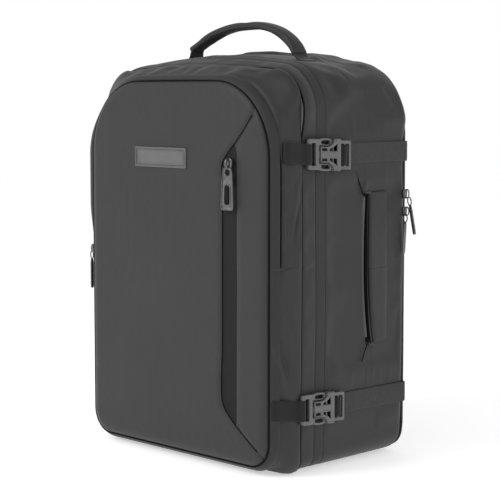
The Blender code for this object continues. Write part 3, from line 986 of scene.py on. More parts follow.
def fillet(corners, steps=4):
    """Rounds the corners of a loop. Each corner is (x, y, radius)."""
    run = []
    for i, (x, y, radius) in enumerate(corners):
        here = Vector((x, y))
        before = Vector(corners[i - 1][:2]) - here
        after = Vector(corners[(i + 1) % len(corners)][:2]) - here
        a = here + before.normalized() * min(radius, before.length * 0.49)
        b = here + after.normalized() * min(radius, after.length * 0.49)
        if radius <= 0:
            run.append(here)
            continue
        for k in range(steps + 1):
            t = k / steps
            run.append(a * (1 - t) ** 2 + here * (2 * t * (1 - t)) + b * t * t)
    return run


def moulding(name, loops, depth, place, material, bevel=0.0005):
    """A plate with rounded edges, from an outline and its holes. place turns (a, b, c) to metres."""
    curve = bpy.data.curves.new(name, "CURVE")
    curve.dimensions, curve.fill_mode = "2D", "BOTH"
    for loop in loops:
        spline = curve.splines.new("POLY")
        spline.points.add(len(loop) - 1)
        for point, corner in zip(spline.points, loop):
            point.co = (corner[0] * 100, corner[1] * 100, 0.0, 1.0)
        spline.use_cyclic_u = True
    curve.extrude = ((depth[1] - depth[0]) / 2 - bevel) * 100
    curve.bevel_depth, curve.bevel_resolution, curve.offset = bevel * 100, 1, -bevel * 100
    holder = bpy.data.objects.new(name + "_outline", curve)
    bpy.context.scene.collection.objects.link(holder)
    graph = bpy.context.evaluated_depsgraph_get()
    mesh = bpy.data.meshes.new_from_object(holder.evaluated_get(graph))
    bpy.data.objects.remove(holder)
    bpy.data.curves.remove(curve)
    middle = (depth[0] + depth[1]) / 2
    for vertex in mesh.vertices:
        a, b, c = vertex.co / 100
        vertex.co = place(a, b, c + middle)
    work = bmesh.new()
    work.from_mesh(mesh)
    bmesh.ops.remove_doubles(work, verts=work.verts, dist=1e-6)
    bmesh.ops.recalc_face_normals(work, faces=work.faces)
    work.to_mesh(mesh)
    work.free()
    mesh.materials.clear()
    mesh.materials.append(material)
    mesh.shade_smooth()
    mesh.set_sharp_from_angle(angle=math.radians(38))
    piece = bpy.data.objects.new(name, mesh)
    bpy.context.scene.collection.objects.link(piece)
    return piece


def merge(parts):
    """One object from several, keeping each one's material."""
    with bpy.context.temp_override(active_object=parts[0], selected_editable_objects=parts):
        bpy.ops.object.join()
    return parts[0]


def bars(name, places, material, sides=5):
    """Small capsules, such as stitches and zip teeth. Each is (middle, Vector to its end, radius)."""
    points, faces = [], []
    for middle, half, radius in places:
        along = half.normalized()
        u = along.orthogonal().normalized()
        v = along.cross(u)
        start = len(points)
        for t, r in ((-1.0, 0.45), (-0.72, 1.0), (0.72, 1.0), (1.0, 0.45)):
            for k in range(sides):
                turn = 2 * math.pi * k / sides
                points.append(middle + half * t + (u * math.cos(turn) + v * math.sin(turn)) * radius * r)
        for row in range(3):
            for k in range(sides):
                a, b = start + row * sides + k, start + row * sides + (k + 1) % sides
                faces.append((a, b, b + sides, a + sides))
        faces.append(tuple(start + k for k in reversed(range(sides))))
        faces.append(tuple(start + 3 * sides + k for k in range(sides)))
    return add_mesh(name, points, faces, material)


def resample(path, pitch, closed=False):
    """Evenly spaced (point, direction) pairs along a run of points."""
    path = list(path) + ([path[0]] if closed else [])
    pairs, left = [], 0.0
    for a, b in zip(path, path[1:]):
        length = (b - a).length
        at = left
        while at < length:
            pairs.append((a.lerp(b, at / length), (b - a) / length))
            at += pitch
        left = at - length
    return pairs


def stitch_run(name, path, material, length=0.0026, gap=0.0014, radius=0.00028, closed=False):
    """Topstitching: short threads along a path."""
    places = [(p, along * length / 2, radius) for p, along in resample(path, length + gap, closed)]
    return bars(name, places, material)


# ---------------------------------------------------------------- compression straps

PLUG_START = {level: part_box("plug_" + level + "_right")[0].y for level in STRAP_LEVELS}
STUB_FROM = {"top": -0.1030, "bottom": -0.1155}


def mirrored(half):
    """A loop across the buckle's middle line, from the half of it with v above 0."""
    return half + [(u, -v, r) for u, v, r in reversed(half)]


def both_hands(hole):
    """A loop and its mirror image across the strap's middle."""
    return [hole, [(u, -v, r) for u, v, r in reversed(hole)]]


def in_mm(loop):
    """A rounded outline from corners given in millimetres."""
    return fillet([(u * 0.001, v * 0.001, r * 0.001) for u, v, r in loop])


PLUG_FRAME = mirrored(
    [(0.0, 18.2, 3.0), (11.0, 18.5, 2.0), (19.0, 18.5, 1.6), (19.0, 3.6, 1.2), (42.0, 3.2, 1.5)]
)
PLUG_SLOT = mirrored([(5.4, 13.4, 1.0), (12.6, 13.4, 1.0)])
ARM = [
    (18.4, 10.7, 0.8), (40.0, 10.4, 1.5), (42.6, 14.0, 1.8), (42.2, 18.8, 2.4), (31.0, 20.0, 8.0),
    (21.0, 18.9, 3.0), (18.4, 17.4, 0.8)
]
ARM_SLOT = [(23.0, 12.3, 1.4), (38.6, 12.2, 1.6), (39.6, 16.4, 2.0), (31.0, 17.3, 6.0), (23.0, 16.2, 1.6)]
NECK = [
    (19.8, 9.6, 0.8), (35.0, 9.4, 4.0), (43.0, 12.4, 3.0), (43.8, 19.3, 2.8), (56.5, 19.5, 1.6),
    (57.0, 17.6, 0.4)
]
SOCKET_COVER = mirrored(NECK)
SMALL_WINDOW = [(21.8, 4.5, 0.6), (31.6, 4.5, 1.0), (31.2, 7.9, 1.4), (21.8, 7.9, 0.8)]
WEDGE_WINDOW = [(35.6, 4.4, 0.8), (50.0, 4.4, 0.9), (50.0, 13.8, 1.6), (45.0, 9.6, 4.0), (36.4, 7.2, 1.2)]
SOCKET_WALL = mirrored([(44.0, 19.3, 1.5), (56.0, 19.5, 1.5), (56.0, 0.5, 0.1)])
SOCKET_HOLLOW = mirrored([(43.0, 17.2, 0.3), (53.5, 17.0, 1.0)])
LADDER = mirrored([(54.5, 17.6, 0.5), (77.0, 17.6, 1.6)])
LADDER_WINDOWS = [
    mirrored([(57.8, 13.4, 0.8), (64.0, 13.4, 0.8)]), mirrored([(67.0, 13.4, 0.8), (73.4, 13.4, 0.8)])
]
RAIL = [(20.6, 8.8), (28.0, 8.6), (36.0, 9.4), (42.5, 13.6), (48.0, 17.6), (55.6, 18.6)]
RIB = [(20.6, 3.2), (44.0, 3.1), (50.4, 3.3)]


BUCKLE_SCALE = 0.93
BUCKLE_SHIFT = {"top": 0.0045, "bottom": 0.0014}
BUCKLE_TILT = 0.035  # the buckles hang a little towards the rear


def strap_place(level, side, tilt=0.0):
    """Turns (along from the plug's end, up from the strap's middle, off the fabric) into metres."""
    start, z = PLUG_START[level] + BUCKLE_SHIFT[level], STRAP_LEVELS[level]
    return lambda a, b, c: Vector(
        (side * (0.176 + c), start + a * BUCKLE_SCALE, z + b - (a - 0.012) * tilt)
    )


def build_buckle(level, hand, side):
    """One side-release buckle: plug, two arms, and the socket with its webbing ladder."""
    tag, place = level + "_" + hand, strap_place(level, side, BUCKLE_TILT)
    plug = moulding(
        "buckle_plug_" + tag, [in_mm(PLUG_FRAME), in_mm(PLUG_SLOT)], (0.0034, 0.0080), place, PLASTIC,
        0.0008
    )
    finish_piece(plug, "root", "plug_" + tag)
    for name, arm, slot in zip(("upper", "lower"), both_hands(ARM), both_hands(ARM_SLOT)):
        piece = moulding(
            "buckle_arm_" + tag + "_" + name, [in_mm(arm), in_mm(slot)], (0.0036, 0.0076), place, PLASTIC,
            0.0007
        )
        finish_piece(piece, "squeeze_" + tag + "_" + name, "plug_arm_" + tag + "_" + name)

    windows = [in_mm(w) for hole in (SMALL_WINDOW, WEDGE_WINDOW) for w in both_hands(hole)]
    cover = moulding(
        "buckle_socket_" + tag, [in_mm(SOCKET_COVER)] + windows, (0.0080, 0.0100), place, PLASTIC, 0.0006
    )
    # The socket's floor is dark board under the windows: painted shade inside the moulding.
    floor = moulding("socket_floor_shade_" + tag, [in_mm(SOCKET_COVER)], (0.0021, 0.0033), place, BOARD, 0.0002)
    wall = moulding(
        "socket_wall_" + tag, [in_mm(SOCKET_WALL), in_mm(SOCKET_HOLLOW)], (0.0028, 0.0086), place, PLASTIC,
        0.0004
    )
    ladder = [in_mm(loop) for loop in [LADDER] + LADDER_WINDOWS]
    frame_plate = moulding("socket_ladder_" + tag, ladder, (0.0045, 0.0088), place, PLASTIC, 0.0008)
    parts = [cover, floor, wall, frame_plate]
    for up in (1, -1):
        for line, radius in ((RAIL, 0.0009), (RIB, 0.0006)):
            points = [place(u * 0.001, up * v * 0.001, 0.0098) for u, v in line]
            parts.append(
                tube("socket_rail_" + tag, curve_through(points, 0.0015), radius, (side, 0, 0), PLASTIC)
            )
    finish_piece(merge(parts), "socket_" + tag, "socket_" + tag)

    loop = [
        (56.0, 5.0), (59.4, 6.4), (62.8, 9.3), (65.4, 9.9), (68.0, 9.3), (71.0, 5.4), (74.0, 3.2),
        (76.3, 2.6)
    ]
    points = [place(u * 0.001, 0.0, c * 0.001) for u, c in loop]
    piece = webbing("ladder_webbing_" + tag, points, 0.0248, 0.0013, (side, 0, 0), DARK_WEBBING)
    finish_piece(piece, "socket_" + tag)


def build_strap(level, hand, side):
    """The webbing in front of a buckle and the longer run behind it."""
    tag, place = level + "_" + hand, strap_place(level, side)
    start = PLUG_START[level] + BUCKLE_SHIFT[level]
    front = (STUB_FROM[level] - start) / BUCKLE_SCALE * 1000
    if level == "top":
        over = [(front, -2.4), (front + 1.5, 0.8), (front + 6.0, 2.8), (-9.0, 4.4), (-1.6, 8.0)]
    else:
        over = [(front, -9.5), (front + 1.2, -6.2), (front + 6.0, -3.4), (-7.0, 1.6), (-1.6, 7.2)]
    over += [(0.6, 8.9), (3.4, 8.9)]
    over += [(5.0, 7.6), (5.7, 5.4), (5.0, 3.4), (3.0, 2.4), (0.0, 2.1), (-6.0, 1.7)]
    lean = 0.0028 / (front * 0.001)  # the webbing climbs a little towards its sewn end
    points = [place(u * 0.001, min(u, 0.0) * 0.001 * lean, c * 0.001) for u, c in over]
    stub = folded_webbing("strap_front_" + tag, points, side, DARK_WEBBING)
    finish_piece(stub, "root", "stub_webbing_" + tag)
    behind = [(60.0, 1.5), (80.0, 2.3)]
    span = (REAR_Y - start) / BUCKLE_SCALE * 1000
    behind += [
        (span * 0.62 + 30.0, 2.5), (span - 6.0, 3.4), (span - 0.5, 3.6), (span + 2.4, 2.0),
        (span + 2.8, -2.5)
    ]
    points = [place(u * 0.001, 0.0, c * 0.001) for u, c in behind]
    finish_piece(folded_webbing("strap_rear_" + tag, points, side, WEBBING), "root", "rear_webbing_" + tag)


def folded_webbing(name, points, side, material):
    """Webbing whose path may turn back on itself: its face turns with it."""
    path = curve_through(points, 0.0008)
    turns = []
    for k in range(len(path)):
        along = path[min(k + 1, len(path) - 1)] - path[max(k - 1, 0)]
        turns.append(Vector((0, 0, 1)).cross(along) * -side)
    plain, ribbed = oval(WEB_HALF, 0.00062, 14, 0.25), oval(WEB_HALF, 0.00080, 14, 0.25)
    return sweep(name, path, lambda k: ribbed if k % 2 else plain, lambda k: turns[k], material)


def build_straps():
    """All four compression straps with their buckles."""
    for hand, side in SIDES.items():
        for level in STRAP_LEVELS:
            build_buckle(level, hand, side)
            build_strap(level, hand, side)


# ---------------------------------------------------------------- seams and front zips


def build_seams():
    """Dark cords of painted shade in the sewn seams, the zip's tape and coil, and the fold's stitch line."""
    seams = [
        ("panel_seam", PANEL, SEAM_Y - 0.0006, 0.0011, 0.0010),
        ("gusset_seam", GUSSET_REAR, JOIN_Y, lambda x, z: -0.0004 + seam_reach(x, z), 0.0010),
        ("rear_seam", shell_shape(REAR_Y), REAR_Y + 0.0006, -0.0024, 0.0012),
    ]
    for name, shape, y, out, radius in seams:
        # Each seam cord is SHADOW: painted shade in the seam's groove.
        cord = seam_shade_cord(name, shape, y, out, radius, SHADOW)
        if name == "panel_seam":
            bend_at_fold(cord)
        finish_piece(cord, None if name == "panel_seam" else "root")

    tape_profile = ((LIP_Y - 0.0006, -0.0044), (GUSSET_LOW.y + 0.0004, -0.0048))
    tape_rows = [ring(LIP, y, out) for y, out in tape_profile]
    keep = [k for k, p in enumerate(tape_rows[0]) if p.z > FOLD_Z + 0.0005]
    tape = loft("front_zip_cloth", [[row[k] for k in keep] for row in tape_rows], ZIP, closed=False)
    thicken(tape, 0.0006)
    finish_piece(tape, "root", "front_zip_tape")
    path = ring(LIP, (LIP_Y + GUSSET_LOW.y) / 2, -0.0036)
    path = [path[k] for k in keep]
    places = []
    for p, _ in resample(path, 0.0015):
        places.append((p, Vector((0, 0.0021, 0)), 0.00055))
    finish_piece(bars("front_zip_coil", places, TEETH), "root")

    for side in (1, -1):
        a = Vector((side * (PANEL.half_w + 0.0045), SEAM_Y + 0.0012, FOLD_Z))
        b = Vector((side * (LIP.half_w + 0.0065), LIP_Y + 0.0040, FOLD_Z))
        hand = "right" if side > 0 else "left"
        between = a.lerp(b, 0.5) + Vector((side * 0.0012, 0, 0))
        run = stitch_run("fold_stitches_" + hand, [a, between, b], THREAD, 0.0020, 0.0008, 0.0003)
        finish_piece(run, "root")


def build_darts():
    """Dark tubes of painted shade along the stitched darts at the ends of the finger slit, each hooked over to the
    slit.
    """
    for k, (start, end) in enumerate(DARTS):
        hook = (slit_centre(SLIT_Z[1 - k]), SLIT_Z[1 - k])
        low_end = (start, end, hook) if k == 0 else (end, start, hook)
        path = curve_through([Vector((side_x(y, z) + 0.0010, y, z)) for y, z in low_end], 0.002)
        path = [Vector((side_x(p.y, p.z) + 0.0010, p.y, p.z)) for p in path]
        # Each dart is a SHADOW tube: painted shade in the dart's crease.
        finish_piece(
            tube("dart_" + ("upper", "lower")[k], path, 0.0007, (1, 0, 0), SHADOW, sides=6), "root"
        )


PATCH_SHIFT = 0.0065  # the badge sits a little nearer the zip than its CAD plate


def build_patch():
    """The blank badge: a rubber plate with a raised rim and a sewn border."""
    low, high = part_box("badge_patch")
    face_y = min(panel_y(x, (low.z + high.z) / 2) for x in (low.x, (low.x + high.x) / 2, high.x)) + 0.0006

    def loop(inset, radius):
        x0, x1, z0, z1 = low.x + inset, high.x - inset, low.z + inset, high.z - inset
        return fillet([(x0, z0, radius), (x1, z0, radius), (x1, z1, radius), (x0, z1, radius)])

    def place(a, b, c):
        return Vector((a + PATCH_SHIFT, face_y - c, b))

    plate = moulding("patch_plate", [loop(0.0, 0.0022)], (0.0, 0.0017), place, PATCH, 0.0005)
    rim_plate = moulding(
        "patch_rim", [loop(0.0, 0.0022), loop(0.0013, 0.0012)], (0.0010, 0.0023), place, PATCH, 0.0004
    )
    inner = moulding(
        "patch_frame", [loop(0.0048, 0.0008), loop(0.0054, 0.0006)], (0.0012, 0.0020), place, PATCH, 0.0002
    )
    finish_piece(merge([plate, rim_plate, inner]), "front_flap", "badge_patch")
    border = [place(a, b, 0.0018) for a, b in loop(0.0030, 0.0010)]
    finish_piece(
        stitch_run("patch_stitches", border, PATCH_THREAD, 0.0018, 0.0012, 0.00045, closed=True),
        "front_flap"
    )


def build_quick_zip():
    """The front panel's short zip: its meeting line and the crease at the strip's left edge, both dark tubes of
    painted shade, its slider and the long slotted pull.
    """
    x = (STRIP_X[0] + STRIP_X[1]) / 2
    rows = [z for z in panel_rows() if 0.058 < z < 0.376]
    path = [Vector((x, panel_y(x, z) + 0.0027, z)) for z in rows]
    crease = [(left_edge(z) + 0.0004, z) for z in panel_rows() if 0.026 < z < 0.437]
    crease = [Vector((a, panel_y(a, z) + 0.0010, z)) for a, z in crease]
    # Both lines are SHADOW tubes: painted shade in the zip's meeting line and in the crease at the left field's
    # edge.
    for name, points, radius in (("quick_zip_line_shade", path, 0.0005), ("panel_crease_shade", crease, 0.00048)):
        line = tube(name, points, radius, (0, -1, 0), SHADOW, sides=6)
        bend_at_fold(line)
        finish_piece(line, None)

    low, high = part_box("quick_slider")
    cx, cz = (low.x + high.x) / 2 + QUICK_SHIFT, (low.z + high.z) / 2

    def place(a, b, c):
        return Vector((cx + a, high.y + 0.0012 - c, cz + b))

    body_loop = fillet([
        (-0.0066, 0.0068, 0.005), (-0.0050, -0.0070, 0.003), (0.0050, -0.0070, 0.003), (0.0066, 0.0068, 0.005)
    ])
    body = moulding("quick_slider_body", [body_loop], (0.0, 0.0032), place, METAL, 0.0009)
    arch = curve_through(
        [place(0, 0.0052, 0.0028), place(0, 0.0046, 0.0058), place(0, -0.0006, 0.0070), place(0, -0.0056, 0.0046)],
        0.0006
    )
    bail = tube("quick_slider_bail", arch, 0.0016, (1, 0, 0), METAL)
    finish_piece(merge([body, bail]), "quick_slider", "quick_slider")

    pull_low, pull_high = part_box("quick_pull")
    px, back = (pull_low.x + pull_high.x) / 2 + QUICK_SHIFT, pull_high.y
    top, bottom = pull_high.z, pull_low.z

    def lay(a, b, c):
        return Vector((px + a, back - c, bottom + b))

    height = top - bottom
    outline = [
        (-0.0110, 0.0, 0.0036), (0.0110, 0.0, 0.0036), (0.0090, height - 0.004, 0.006),
        (0.0068, height + 0.0030, 0.004)
    ]
    outline += [(-0.0068, height + 0.0030, 0.004), (-0.0090, height - 0.004, 0.006)]
    slot = [
        (-0.0048, 0.0066, 0.0040), (0.0048, 0.0066, 0.0040), (0.0044, 0.0300, 0.0040),
        (-0.0044, 0.0300, 0.0040)
    ]
    eye = [
        (-0.0044, height - 0.0065, 0.0040), (0.0044, height - 0.0065, 0.0040),
        (0.0040, height + 0.0008, 0.0030)
    ]
    eye += [(-0.0040, height + 0.0008, 0.0030)]
    slot_rim = [(a * 1.30, b + (-0.0011 if b < 0.02 else 0.0011), r * 1.2) for a, b, r in slot]
    plate = moulding(
        "quick_pull_plate", [fillet(outline, 6), fillet(slot, 6), fillet(eye, 6)], (0.0, 0.0019), lay,
        METAL, 0.0006
    )
    inner = [
        (a * 0.90, 0.0009 if b <= 0 else b - (0.0009 if b > height else 0.0), r) for a, b, r in outline
    ]
    edge = moulding(
        "quick_pull_edge", [fillet(outline, 6), fillet(inner, 6)], (0.0012, 0.0025), lay, METAL, 0.0003
    )
    lip = moulding(
        "quick_pull_lip", [fillet(slot_rim, 6), fillet(slot, 6)], (0.0012, 0.0025), lay, METAL, 0.0003
    )
    finish_piece(merge([plate, edge, lip]), "quick_pull", "quick_pull")


def build_slider(node, up, out, across, stand_off=0.0, aside=0.0):
    """A small zip slider: a waisted body and a wire bail, on the node's place or a little off it."""
    low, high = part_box(node)
    up, out, across = Vector(up), Vector(out), Vector(across)
    middle = (low + high) / 2 + out * stand_off + across * aside
    depth = abs((high - low).dot(out))

    def place(a, b, c):
        return middle + across * a + up * b + out * (c - depth / 2)

    half = abs((high - low).dot(across)) / 2
    waist = [
        (-half, 0.0055, 0.0015), (-half * 0.75, -0.0058, 0.0015), (half * 0.75, -0.0058, 0.0015),
        (half, 0.0055, 0.0015)
    ]
    body = moulding("body_" + node, [fillet(waist)], (0.0, depth - 0.0010), place, METAL, 0.0006)
    arch = [
        (0.0052, depth - 0.0012), (0.0054, depth + 0.0028), (0.0010, depth + 0.0046),
        (-0.0040, depth + 0.0034)
    ]
    arch += [(-0.0054, depth - 0.0012)]
    wire = tube(
        "bail_" + node, curve_through([place(0, b, c) for b, c in arch], 0.0006), 0.00075, across, METAL
    )
    finish_piece(merge([body, wire]), node, node)


def build_stick_pull(node, top, bottom, face, ring_face):
    """A slim pull: a wire loop at the top, and a flat bar with rounded edges."""
    top, bottom = Vector(top), Vector(bottom)
    along = (bottom - top).normalized()
    shoulder = top + along * 0.0100
    side = along.cross(Vector(ring_face)).normalized()
    loop = []
    for k in range(16):
        turn = 2 * math.pi * k / 16
        loop.append(top + along * (0.0048 - 0.0052 * math.cos(turn)) + side * 0.0029 * math.sin(turn))
    wire = tube("loop_" + node, loop, 0.00075, ring_face, METAL, closed=True)
    path = [shoulder.lerp(bottom, k / 14) for k in range(15)]

    def section(k):
        end = min(1.0, 0.72 + k * 0.14) * (0.80 if k == 14 else 1.0)
        return oval(0.0024 * end, 0.00115 * end, 12, 0.5)

    bar = sweep("bar_" + node, path, section, lambda k: face, METAL)
    finish_piece(merge([bar, wire]), node, node)


def build_small_zips():
    """The sliders of the front compartment and of the rear opening."""
    build_slider("compartment_slider", (0, 0, 1), (-1, 0, 0), (0, 1, 0), 0.0060, -0.0035)
    low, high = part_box("compartment_pull")
    x, y = (low.x + high.x) / 2 - 0.0110, (low.y + high.y) / 2 - 0.0035
    build_stick_pull("compartment_pull", (x, y, high.z + 0.004), (x, y, low.z), (-1, 0, 0), (0, 1, 0))
    for node in ("main_upper", "main_lower"):
        build_slider(node + "_slider", (0, 0, 1), (1, 0, 0), (0, 1, 0))
    low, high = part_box("main_upper_pull")
    y = (low.y + high.y) / 2
    build_stick_pull(
        "main_upper_pull", (low.x + 0.0012, y, high.z + 0.003), (high.x - 0.0006, y, low.z + 0.001),
        (0, -1, 0), (0, 1, 0)
    )
    low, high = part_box("main_lower_pull")
    y = (low.y + high.y) / 2
    build_stick_pull(
        "main_lower_pull", (high.x + 0.0022, y, high.z + 0.004), (high.x - 0.0006, y, low.z), (1, 0, 0),
        (0, 1, 0)
    )


# ---------------------------------------------------------------- handles

HANDLE_PATH = [(-0.0965, 0.5122), (-0.0900, 0.5148), (-0.0760, 0.5215), (-0.0520, 0.5310)]
HANDLE_PATH += [(-0.0200, 0.5382), (0.0110, 0.5402), (0.0340, 0.5392), (0.0580, 0.5338), (0.0770, 0.5248)]
HANDLE_PATH += [(0.0910, 0.5140), (0.0990, 0.5030)]


def bend_at_roots(piece):
    """Bakes a piece of the top handle's transform into its mesh; it does not bend it where the handle turns on its
    tabs.
    """
    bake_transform(piece)


def build_top_handle():
    """The padded carry handle, with topstitching along both sides, on two sewn tabs."""
    path = curve_through([(x, 0.0, z) for x, z in HANDLE_PATH], 0.0035)

    def face_at(k):
        along = path[min(k + 1, len(path) - 1)] - path[max(k - 1, 0)]
        return Vector((0, 1, 0)).cross(along) * -1

    def section(k):
        t = k / (len(path) - 1)
        padding = mix(0.0044, 0.0050, smooth(min(t, 1 - t) / 0.16))
        half_w = 0.0108 + 0.0010 * smooth((t - 0.8) / 0.2)
        return oval(half_w, padding, 20, 0.55)

    handle = sweep("handle_padding", path, section, face_at, COATED)
    puff_up(handle, 3, 20, 1.0, 0.0010)
    bend_at_roots(handle)
    finish_piece(handle, None, "top_handle")
    for name, side in (("front", -1), ("rear", 1)):
        line = [
            p + Vector((0, side * 0.0086, 0)) - face_at(k).normalized() * -0.0034 for k,
            p in enumerate(path)
        ]
        thread = stitch_run("handle_stitches_" + name, line[3:-3], THREAD, 0.0026, 0.0014, 0.00028)
        bend_at_roots(thread)
        finish_piece(thread, None)

    for hand, points in (
        (
            "left",
            [(-0.0900, 0.5125), (-0.0925, 0.5085), (-0.0935, 0.5035), (-0.0960, 0.4990), (-0.1020, 0.4968)]
        ),
        (
            "right",
            [(0.0925, 0.5125), (0.0985, 0.5050), (0.1020, 0.5005), (0.1090, 0.4968), (0.1150, 0.4950)]
        ),
    ):
        rise = shell_shape(0.0).top - 0.5055
        tab_path = curve_through([(x, 0.0, z + rise) for x, z in points], 0.0012)
        outward = -1 if hand == "left" else 1

        def tab_section(k, count=len(tab_path)):
            return oval(mix(0.0105, 0.0140, k / count), mix(0.0016, 0.0009, k / count), 14, 0.3)

        tab = sweep("handle_root_" + hand, tab_path, tab_section, lambda k, o=outward: (o, 0, 1), COATED)
        subdivide(tab)
        bend_at_roots(tab)
        finish_piece(tab, None, "handle_tab_" + hand)


def build_side_handle():
    """The grab handle behind the side's finger slit: one band in two halves that meet at its middle."""
    low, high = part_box("side_handle")
    middle = (low.z + high.z) / 2
    rear = high.y + 0.001

    def band_row(z):
        front = slit_centre(z) + SLIT_HALF + 0.0012
        lift = 0.0016 * bell((z - low.z) / (high.z - low.z)) ** 0.5
        x = side_x(front, z)
        bottom = x - 0.0062
        row = [
            (front + 0.0020, bottom), (front + 0.0002, x - 0.0040), (front - 0.0002, x - 0.0010),
            (front + 0.0008, x + lift)
        ]
        row += [(front + 0.0034, x + lift + 0.0006)]
        row += [
            (mix(front, rear, t), mix(x, side_x(rear, z), t) + lift * (1 - t) + 0.0008)
            for t in (0.35, 0.6, 0.85)
        ]
        row += [(rear, side_x(rear, z) + 0.0002), (rear, side_x(rear, z) - 0.0010)]
        return [Vector((x_, y_, z)) for y_, x_ in row]

    for name, start, end in (("upper", high.z, middle), ("lower", low.z, middle)):
        levels = sorted(mix(start, end, k / 30) for k in range(31))
        band = loft("side_grip_" + name, [band_row(z) for z in levels], COATED, closed=False)
        # The grip's first two face columns, its wall facing into the slit, take SHADOW: painted shade in the slit.
        band.data.materials.append(SHADOW)
        for index, face in enumerate(band.data.polygons):
            face.material_index = 1 if index % (len(band_row(low.z)) - 1) < 2 else 0
        subdivide(band)
        thicken(band, 0.0009)
        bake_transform(band)
        if name == "upper":
            finish_piece(band, None, "side_handle")
        else:
            finish_piece(band, None)
    places = []
    for z, y in (
        (SLIT_Z[1] + 0.0015, slit_centre(SLIT_Z[1])), (SLIT_Z[0] - 0.0015, slit_centre(SLIT_Z[0]))
    ):
        for k in range(9):
            spot = Vector((side_x(y, z) + 0.0004, y - 0.0022 + k * 0.0011, z))
            places.append((spot, Vector((0, 0, 0.0016)), 0.0004))
    finish_piece(bars("slit_bartacks", places, THREAD), "root")


# ---------------------------------------------------------------- back

DOOR = Shape(0.1735, 0.0085, 0.4925, 0.064, 0.029, 0.90)
DOOR_BASE, DOOR_FACE = 0.1124, 0.1172
CHANNEL_X = 0.013
PAD_ROWS = ((0.050, 0.150, 0.088), (0.164, 0.290, 0.118), (0.304, 0.425, 0.118))  # low, high, outer x


def door_y(x, z):
    """Depth of the back panel's fabric round its pads."""
    t = min(max(inside(DOOR, x, z) / 0.012, 0.0), 1.0)
    uneven = 0.0004 * wave((x, 0.0, z), 13.0, 6.0)
    return mix(DOOR_BASE, DOOR_FACE, math.sqrt(max(1 - (1 - t) ** 2, 0.0))) + uneven


def build_back_panel():
    """The opening back: a padded panel with air-mesh cushions, and the zip round it."""
    levels = [DOOR.bottom + DOOR.bottom_r * (1 - math.cos(a)) for a in spread(0.0, math.pi / 2, 8)]
    levels += spread(DOOR.bottom + DOOR.bottom_r, DOOR.top - DOOR.top_r, 26)
    levels += [DOOR.top - DOOR.top_r * (1 - math.sin(a)) for a in spread(0.0, math.pi / 2, 10)] + [DOOR.top]
    lines = []
    for z in levels:
        half = rim_half_w(DOOR, z)
        xs = [-half * math.cos(math.pi * k / 40) for k in range(41)]
        lines.append(
            [Vector((x, door_y(x, z), z - DOOR.crown * x * x * smooth((z - 0.25) / 0.24))) for x in xs]
        )
    face = loft("back_panel_face", lines, COATED, closed=False)
    thicken(face, 0.0040, LINING, offset=1.0)
    finish_piece(face, "back_door", "back_panel")

    for row, (low, high, outer) in enumerate(PAD_ROWS):
        for hand, side in SIDES.items():
            middle = side * (CHANNEL_X + outer) / 2
            path = [Vector((middle, DOOR_FACE + 0.0022, z)) for z in spread(low, high, 26) + [high]]
            half = (outer - CHANNEL_X) / 2
            pad = pillow(
                f"back_pad_{hand}_{row}", path, lambda t: half, lambda t: 0.0052, (0, 1, 0), MESH_CLOTH,
                0.018
            )
            puff_up(pad, 2, 26, 0.8, 0.0009)
            finish_piece(pad, "back_door")

    shape = shell_shape(REAR_Y)
    for name, body, profile in (
        ("shell_zip_cloth", "root", [(REAR_Y - 0.0006, -0.0022), (0.1099, -0.0030)]),
        (
            "door_zip_cloth", "back_door",
            [(0.1101, -0.0030), (DOOR_BASE, -0.0036), (DOOR_BASE + 0.0002, -0.0110)]
        ),
    ):
        cloth = loft(name, [ring(shape, y, out) for y, out in profile], ZIP)
        thicken(cloth, 0.0006)
        finish_piece(cloth, body, *(["main_zip_tape"] if body == "root" else []))
    places = []
    for p, _ in resample(ring(shape, 0.1100, -0.0022), 0.0016, closed=True):
        places.append((p, Vector((0, 0.0021, 0)), 0.00055))
    finish_piece(bars("main_zip_coil", places, TEETH), "root")


